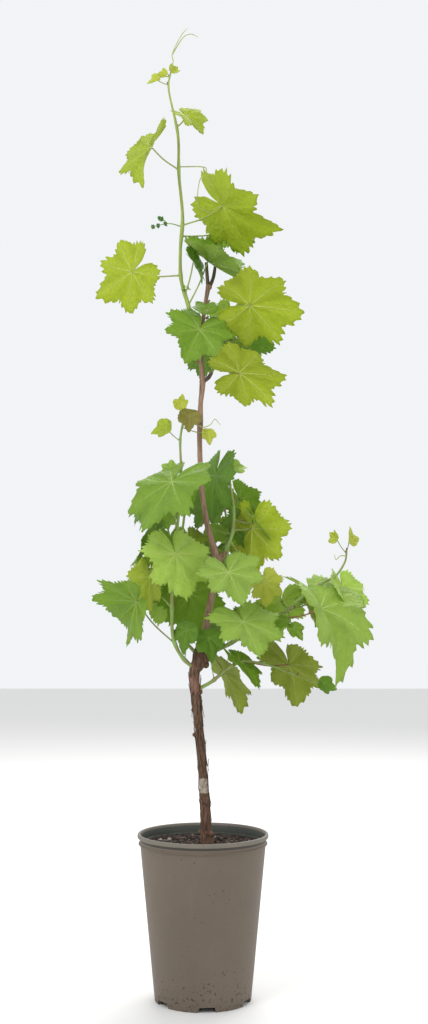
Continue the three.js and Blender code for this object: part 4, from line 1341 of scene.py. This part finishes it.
potSize = {
    "height": 262, "rim": 105, "foot": 77, "wall": 2.2, "lip": 7, "lipRound": 2.4, "neck": 8,
    "neckInset": 3.4, "groove": 4, "step": 2.4, "stepInset": 1.6, "shoulder": 4.4, "ledge": 15,
    "ledgeWidth": 1.4, "lift": 9, "ring": 5, "pad": 20, "round": 1.5, "chamfer": 0.8, "sides": 120,
    "wallHeights": (40, 80, 120, 160, 200), "stepRise": (0.2, 1), "lipRise": (0.3, 1.2), "innerLip": 4,
    "innerTaper": 1, "smoothAngle": 32, "mergeDistance": 0.01,
}
notchSize = {"count": 6, "width": 30, "topWidth": 24, "height": 8, "depth": 16, "bearing": 5, "below": -1}
potLook = {
    "haze": (9, 5, 0.62),
    "hazeShades": ((0.3, 0.86), (0.55, 1), (0.8, 1.16)),
    "specks": (230, 3, 0.55),
    "speckMask": ((0.67, 0), (0.73, 1)),
    "speckDepth": (0.12, 0.0008),
    "soil": (0.05, 0.035, 0.024),
    "soilHeight": 75,
    "soilMost": 0.12,
    "streaks": (90, 5, 0.65),
    "streakStretch": 0.09,
    "streakMask": ((0.6, 0), (0.8, 0.2)),
    "chalkShade": 1.3,
    "roughness": (0.38, 0.72),
    "rimFrom": 254.8,
    "insideFacing": -0.3,
    "footTo": 12,
    "footFacing": 0.6,
    "grooveReach": (4.5, 0.4),
}
# name, colour and share of soil of each finish: wall, rim, inside and groove; the groove finish is painted
# shade in the band under the lip
potFinishes = [
    ("taupe plastic", (0.132, 0.101, 0.073), 1),
    ("worn taupe rim", (0.165, 0.145, 0.115), 0.2),
    ("dark inside", (0.062, 0.068, 0.056), 0.6),
    # painted shade: a darker band on the neck right under the lip
    ("shaded groove", (0.05, 0.04, 0.03), 0.3),
]


def potMaterial(name, color, dirt):
    smooth, rough = potLook["roughness"]
    material, tree, shader, coords = startMaterial(name, smooth)
    haze = noisePattern(tree, coords, *potLook["haze"])
    base = colorSteps(tree, haze, [(place, shaded(color, shade)) for place, shade in potLook["hazeShades"]])
    height = addNode(tree, "SeparateXYZ", {"Vector": coords}).outputs["Z"]
    fade = {"From Min": potLook["soilHeight"] * mm, "From Max": 0, "To Max": potLook["soilMost"] * dirt}
    low = addNode(tree, "MapRange", {**fade, "Value": height}).outputs["Result"]
    specks = noisePattern(tree, coords, *potLook["specks"])
    splashes = greySteps(tree, addNode(tree, "Math", {0: specks, 1: low}).outputs[0], potLook["speckMask"])
    dusty = mixedColors(tree, splashes, base, potLook["soil"])
    streaks = noisePattern(tree, stretched(tree, coords, potLook["streakStretch"]), *potLook["streaks"])
    chalk = greySteps(tree, streaks, potLook["streakMask"])
    chalky = mixedColors(tree, chalk, dusty, shaded(color, potLook["chalkShade"]))
    tree.links.new(chalky, shader.inputs["Base Color"])
    sheen = addNode(tree, "MapRange", {"To Min": smooth, "To Max": rough, "Value": haze})
    tree.links.new(sheen.outputs["Result"], shader.inputs["Roughness"])
    bumped(tree, shader, specks, *potLook["speckDepth"])
    return material


def wallRadius(z):
    top = potSize["height"] - potSize["lip"] - potSize["neck"] - potSize["step"]
    return potSize["foot"] + (potSize["rim"] - potSize["shoulder"] - potSize["foot"]) * z / top


# radius and height along the pot's skin, from the pad under it round to the floor inside
def potProfile():
    p = potSize
    rim, foot, top, rounded = p["rim"], p["foot"], p["height"], p["round"]
    lip = top - p["lip"]
    neck = lip - p["neck"]
    step = neck - p["step"]
    stepRadius = rim - p["stepInset"]
    neckRadius = rim - p["neckInset"]
    inner = neckRadius - p["wall"]
    ledge = top - p["ledge"]
    floorTop = p["lift"] + p["wall"]
    highest = p["wallHeights"][-1]
    quarter = [pi / 6, pi / 3, pi / 2]
    half = [pi * k / 8 for k in range(9)]
    return [
        (p["pad"], 0), (p["pad"] + rounded, p["lift"]),
        (foot - p["ring"] - rounded, p["lift"]), (foot - p["ring"], 0), (foot - rounded, 0),
        *[(foot - rounded + rounded * sin(turn), rounded - rounded * cos(turn)) for turn in quarter],
        *[(wallRadius(z), z) for z in (*p["wallHeights"], step)],
        (stepRadius - p["chamfer"], step + p["stepRise"][0]), (stepRadius, step + p["stepRise"][1]),
        (stepRadius, neck - p["chamfer"]), (stepRadius - p["chamfer"], neck),
        (neckRadius, neck + rounded / 2), (neckRadius, lip - p["groove"]), (neckRadius, lip),
        (rim - p["chamfer"], lip + p["lipRise"][0]), (rim, lip + p["lipRise"][1]),
        *[
            (rim - p["lipRound"] * (1 - cos(turn)), top - p["lipRound"] * (1 - sin(turn)))
            for turn in half
        ],
        (inner, top - p["innerLip"]), (inner, ledge), (inner - p["ledgeWidth"], ledge - p["innerTaper"]),
        (wallRadius(highest) - p["wall"] - p["innerTaper"], highest),
        (wallRadius(floorTop) - p["wall"], floorTop),
    ]


# which finish a face of the pot takes: 0 wall, 1 rim, 2 inside, 3 groove, a band of painted shade under the
# lip
def potFinish(face):
    height = face.center.z / mm
    lip = potSize["height"] - potSize["lip"]
    below, above = potLook["grooveReach"]
    outward = Vector((face.center.x, face.center.y, 0)).normalized().dot(face.normal)
    if height > potLook["rimFrom"]:
        return 1
    underFoot = height < potLook["footTo"] and abs(face.normal.z) > potLook["footFacing"]
    if outward < potLook["insideFacing"] or underFoot:
        return 2
    return 3 if lip - below < height < lip + above else 0


def buildPot():
    profile = potProfile()
    radius, height = profile[0]
    bpy.ops.mesh.primitive_circle_add(
        vertices=potSize["sides"], radius=radius * mm, fill_type="NGON", location=(0, 0, 0)
    )
    pot = bpy.context.object
    pot.name = "pot_shell"
    editWhole()
    for nextRadius, nextHeight in profile[1:]:
        rise = (nextHeight - height) * mm
        bpy.ops.mesh.extrude_region_move(TRANSFORM_OT_translate={"value": (0, 0, rise)})
        grow = nextRadius / radius
        bpy.ops.transform.resize(value=(grow, grow, 1), center_override=(0, 0, nextHeight * mm))
        radius, height = nextRadius, nextHeight
    bpy.ops.mesh.select_all(action="SELECT")
    bpy.ops.mesh.remove_doubles(threshold=potSize["mergeDistance"] * mm)
    bpy.ops.mesh.normals_make_consistent(inside=False)
    bpy.ops.object.mode_set(mode="OBJECT")
    for k in range(notchSize["count"]):
        cutNotch(pot, radians(notchSize["bearing"] + 360 * k / notchSize["count"]))
    for row in potFinishes:
        pot.data.materials.append(potMaterial(*row))
    for face in pot.data.polygons:
        face.material_index = potFinish(face)
    selectOnly(pot)
    bpy.ops.object.shade_smooth_by_angle(angle=radians(potSize["smoothAngle"]))
    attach(pot, "root")
    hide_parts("pot")


def cutNotch(pot, turn):
    depth, tall = notchSize["depth"], notchSize["height"]
    bpy.ops.mesh.primitive_cube_add(size=1, location=(0, 0, 0))
    cutter = bpy.context.object
    reach = potSize["foot"] - potSize["ring"] / 2
    for vertex in cutter.data.vertices:
        high = vertex.co.z > 0
        wide = notchSize["topWidth"] if high else notchSize["width"]
        place = Vector((copysign(wide / 2, vertex.co.x), -reach + copysign(depth / 2, vertex.co.y), 0))
        place.z = tall if high else notchSize["below"]
        vertex.co = place * mm
    cutter.rotation_euler = (0, 0, turn)
    selectOnly(pot)
    cut = pot.modifiers.new("notch", "BOOLEAN")
    cut.operation = "DIFFERENCE"
    cut.solver = "EXACT"
    cut.object = cutter
    bpy.ops.object.modifier_apply(modifier=cut.name)
    bpy.data.objects.remove(cutter)


buildPot()
print("pot built")


# compost

compostLook = {
    "below": 18,
    "gap": 0.4,
    "rings": 44,
    "sides": 132,
    "insetShare": 0.99,
    "mound": 5,
    "moundAt": (-42, 8),
    "moundWidth": 34,
    "trunkAt": 6,
    "flat": 14,
    "fade": 22,
    "unevenness": ((2.2, 3, 0.06), (1.5, 9, 0.19), (0.9, 5, 0.5)),
    "nearTrunk": 0.4,
}
compostTop = potSize["height"] - compostLook["below"]
ledgeRadius = wallRadius(compostTop) - potSize["wall"] - potSize["ledgeWidth"]


def compostHeight(x, y):
    look = compostLook
    fromMound = hypot(x - look["moundAt"][0], y - look["moundAt"][1]) / look["moundWidth"]
    fade = min(1, max(0, (hypot(x - look["trunkAt"], y) - look["flat"]) / look["fade"]))
    lumps = 0
    for size, seed, scale in look["unevenness"]:
        lumps += size * noise.noise(Vector((x, y, seed)) * scale)
    mound = look["mound"] * exp(-fromMound ** 2)
    return compostTop + fade * (mound + lumps) + look["nearTrunk"] * lumps * (1 - fade)


def buildCompost():
    look = compostLook
    radius = ledgeRadius - look["gap"]
    bpy.ops.mesh.primitive_circle_add(
        vertices=look["sides"], radius=radius * mm, fill_type="NGON", location=(0, 0, compostTop * mm)
    )
    bed = bpy.context.object
    bed.name = "compost_bed"
    bpy.ops.object.transform_apply(location=True, rotation=False, scale=False)
    editWhole()
    for _ in range(look["rings"] - 1):
        bpy.ops.mesh.inset(thickness=radius / look["rings"] * look["insetShare"] * mm, use_boundary=True)
    bpy.ops.object.mode_set(mode="OBJECT")
    for vertex in bed.data.vertices:
        vertex.co.z = compostHeight(vertex.co.x / mm, vertex.co.y / mm) * mm
    editWhole()
    bpy.ops.mesh.extrude_region_move(TRANSFORM_OT_translate={"value": (0, 0, 0)})
    bpy.ops.object.mode_set(mode="OBJECT")
    closeBlock(bed, radius, potSize["lift"] + potSize["wall"] + look["gap"])
    bed.data.materials.append(finishes["compost"])
    for face in bed.data.polygons:
        face.use_smooth = True
    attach(bed, "root")
    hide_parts("compost")


# the lower copy of the skin becomes the flat bottom of the block
def closeBlock(bed, radius, floorTop):
    shape = bmesh.new()
    shape.from_mesh(bed.data)
    seen = {}
    for vertex in shape.verts:
        seen.setdefault(tuple(round(value, 7) for value in vertex.co), []).append(vertex)
    shrink = (wallRadius(floorTop) - potSize["wall"] - compostLook["gap"]) / radius
    for pair in seen.values():
        if len(pair) > 1:
            pair[1].co = Vector((pair[1].co.x * shrink, pair[1].co.y * shrink, floorTop * mm))
    bmesh.ops.recalc_face_normals(shape, faces=shape.faces)
    shape.to_mesh(bed.data)
    shape.free()


crumbLook = {
    "seed": 91,
    "fromWall": 4,
    "lumps": 760,
    "lumpSize": (1.3, 4.2),
    "smallBias": 2.4,
    "lumpLift": 0.25,
    "lumpRings": ((-0.9, 0.35), (-0.35, 0.95), (0.35, 0.9), (0.85, 0.4)),
    "lumpSides": 6,
    "lumpFlat": 0.8,
    "roughness": (0.35, 1.7),
    "seedStep": 0.7,
    "gritEvery": 37,
    "chips": 90,
    "chipLength": (5, 15),
    "chipWidth": (0.18, 0.34),
    "chipThickness": (0.7, 1.4),
    "chipLift": 1.1,
    "chipTilt": 0.5,
    "chipRings": ((-0.5, 0.55), (-0.2, 1), (0.2, 0.9), (0.5, 0.4)),
    "chipSection": ((-1, -0.5), (-1, 0.5), (1, 0.5), (1, -0.5)),
    "chipJag": 0.3,
}


def compostSpot(draw):
    reach = (ledgeRadius - crumbLook["fromWall"]) * sqrt(draw())
    turn = 2 * pi * draw()
    x, y = reach * cos(turn), reach * sin(turn)
    return Vector((x, y, compostHeight(x, y)))


def buildCrumbs():
    look = crumbLook
    draft = newDraft()
    draw = randomFrom(look["seed"])
    smallest, largest = look["lumpSize"]
    for k in range(look["lumps"]):
        spot = compostSpot(draw)
        size = smallest + (largest - smallest) * draw() ** look["smallBias"]
        finish = "grit" if k % look["gritEvery"] == 0 else "compost"
        addCrumb(draft, spot + up * size * look["lumpLift"], size, k, finish)
    for _ in range(look["chips"]):
        addChip(draft, compostSpot(draw) + up * look["chipLift"], between(draw, look["chipLength"]), draw)
    piece = pieceFrom("compost_crumbs", draft)
    for face in piece.data.polygons:
        face.use_smooth = False
    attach(piece, "root")


# a rough lump of four rings round an upright axis
def addCrumb(draft, middle, size, seed, finish):
    rings, sides = crumbLook["lumpRings"], crumbLook["lumpSides"]
    amount, grain = crumbLook["roughness"]
    step = crumbLook["seedStep"]
    points = []
    for ring, (level, wide) in enumerate(rings):
        for side in range(sides):
            angle = 2 * pi * (side + 0.5 * (ring % 2)) / sides
            spot = Vector((wide * cos(angle), wide * sin(angle), level * crumbLook["lumpFlat"]))
            rough = 1 + amount * noise.noise(spot * grain + Vector((seed, seed * step, 0)))
            points.append((middle + spot * size * rough) * mm)
    addSurface(draft, points, tubeFaces(len(rings), sides), finish)


def addChip(draft, middle, length, draw):
    look = crumbLook
    turn = draw() * pi
    axis = Vector((cos(turn), sin(turn), look["chipTilt"] * (draw() - 0.5))).normalized()
    wide, thick = length * between(draw, look["chipWidth"]), between(draw, look["chipThickness"])
    side = up.cross(axis).normalized()
    lift = axis.cross(side)
    points = []
    for share, narrow in look["chipRings"]:
        for across, rise in look["chipSection"]:
            jag = 1 + look["chipJag"] * (draw() - 0.5)
            aside = side * wide * narrow * across * jag / 2
            points.append((middle + axis * length * share + aside + lift * thick * rise) * mm)
    addSurface(draft, points, tubeFaces(len(look["chipRings"]), len(look["chipSection"])), "chip")


buildCompost()
buildCrumbs()
print("compost built")
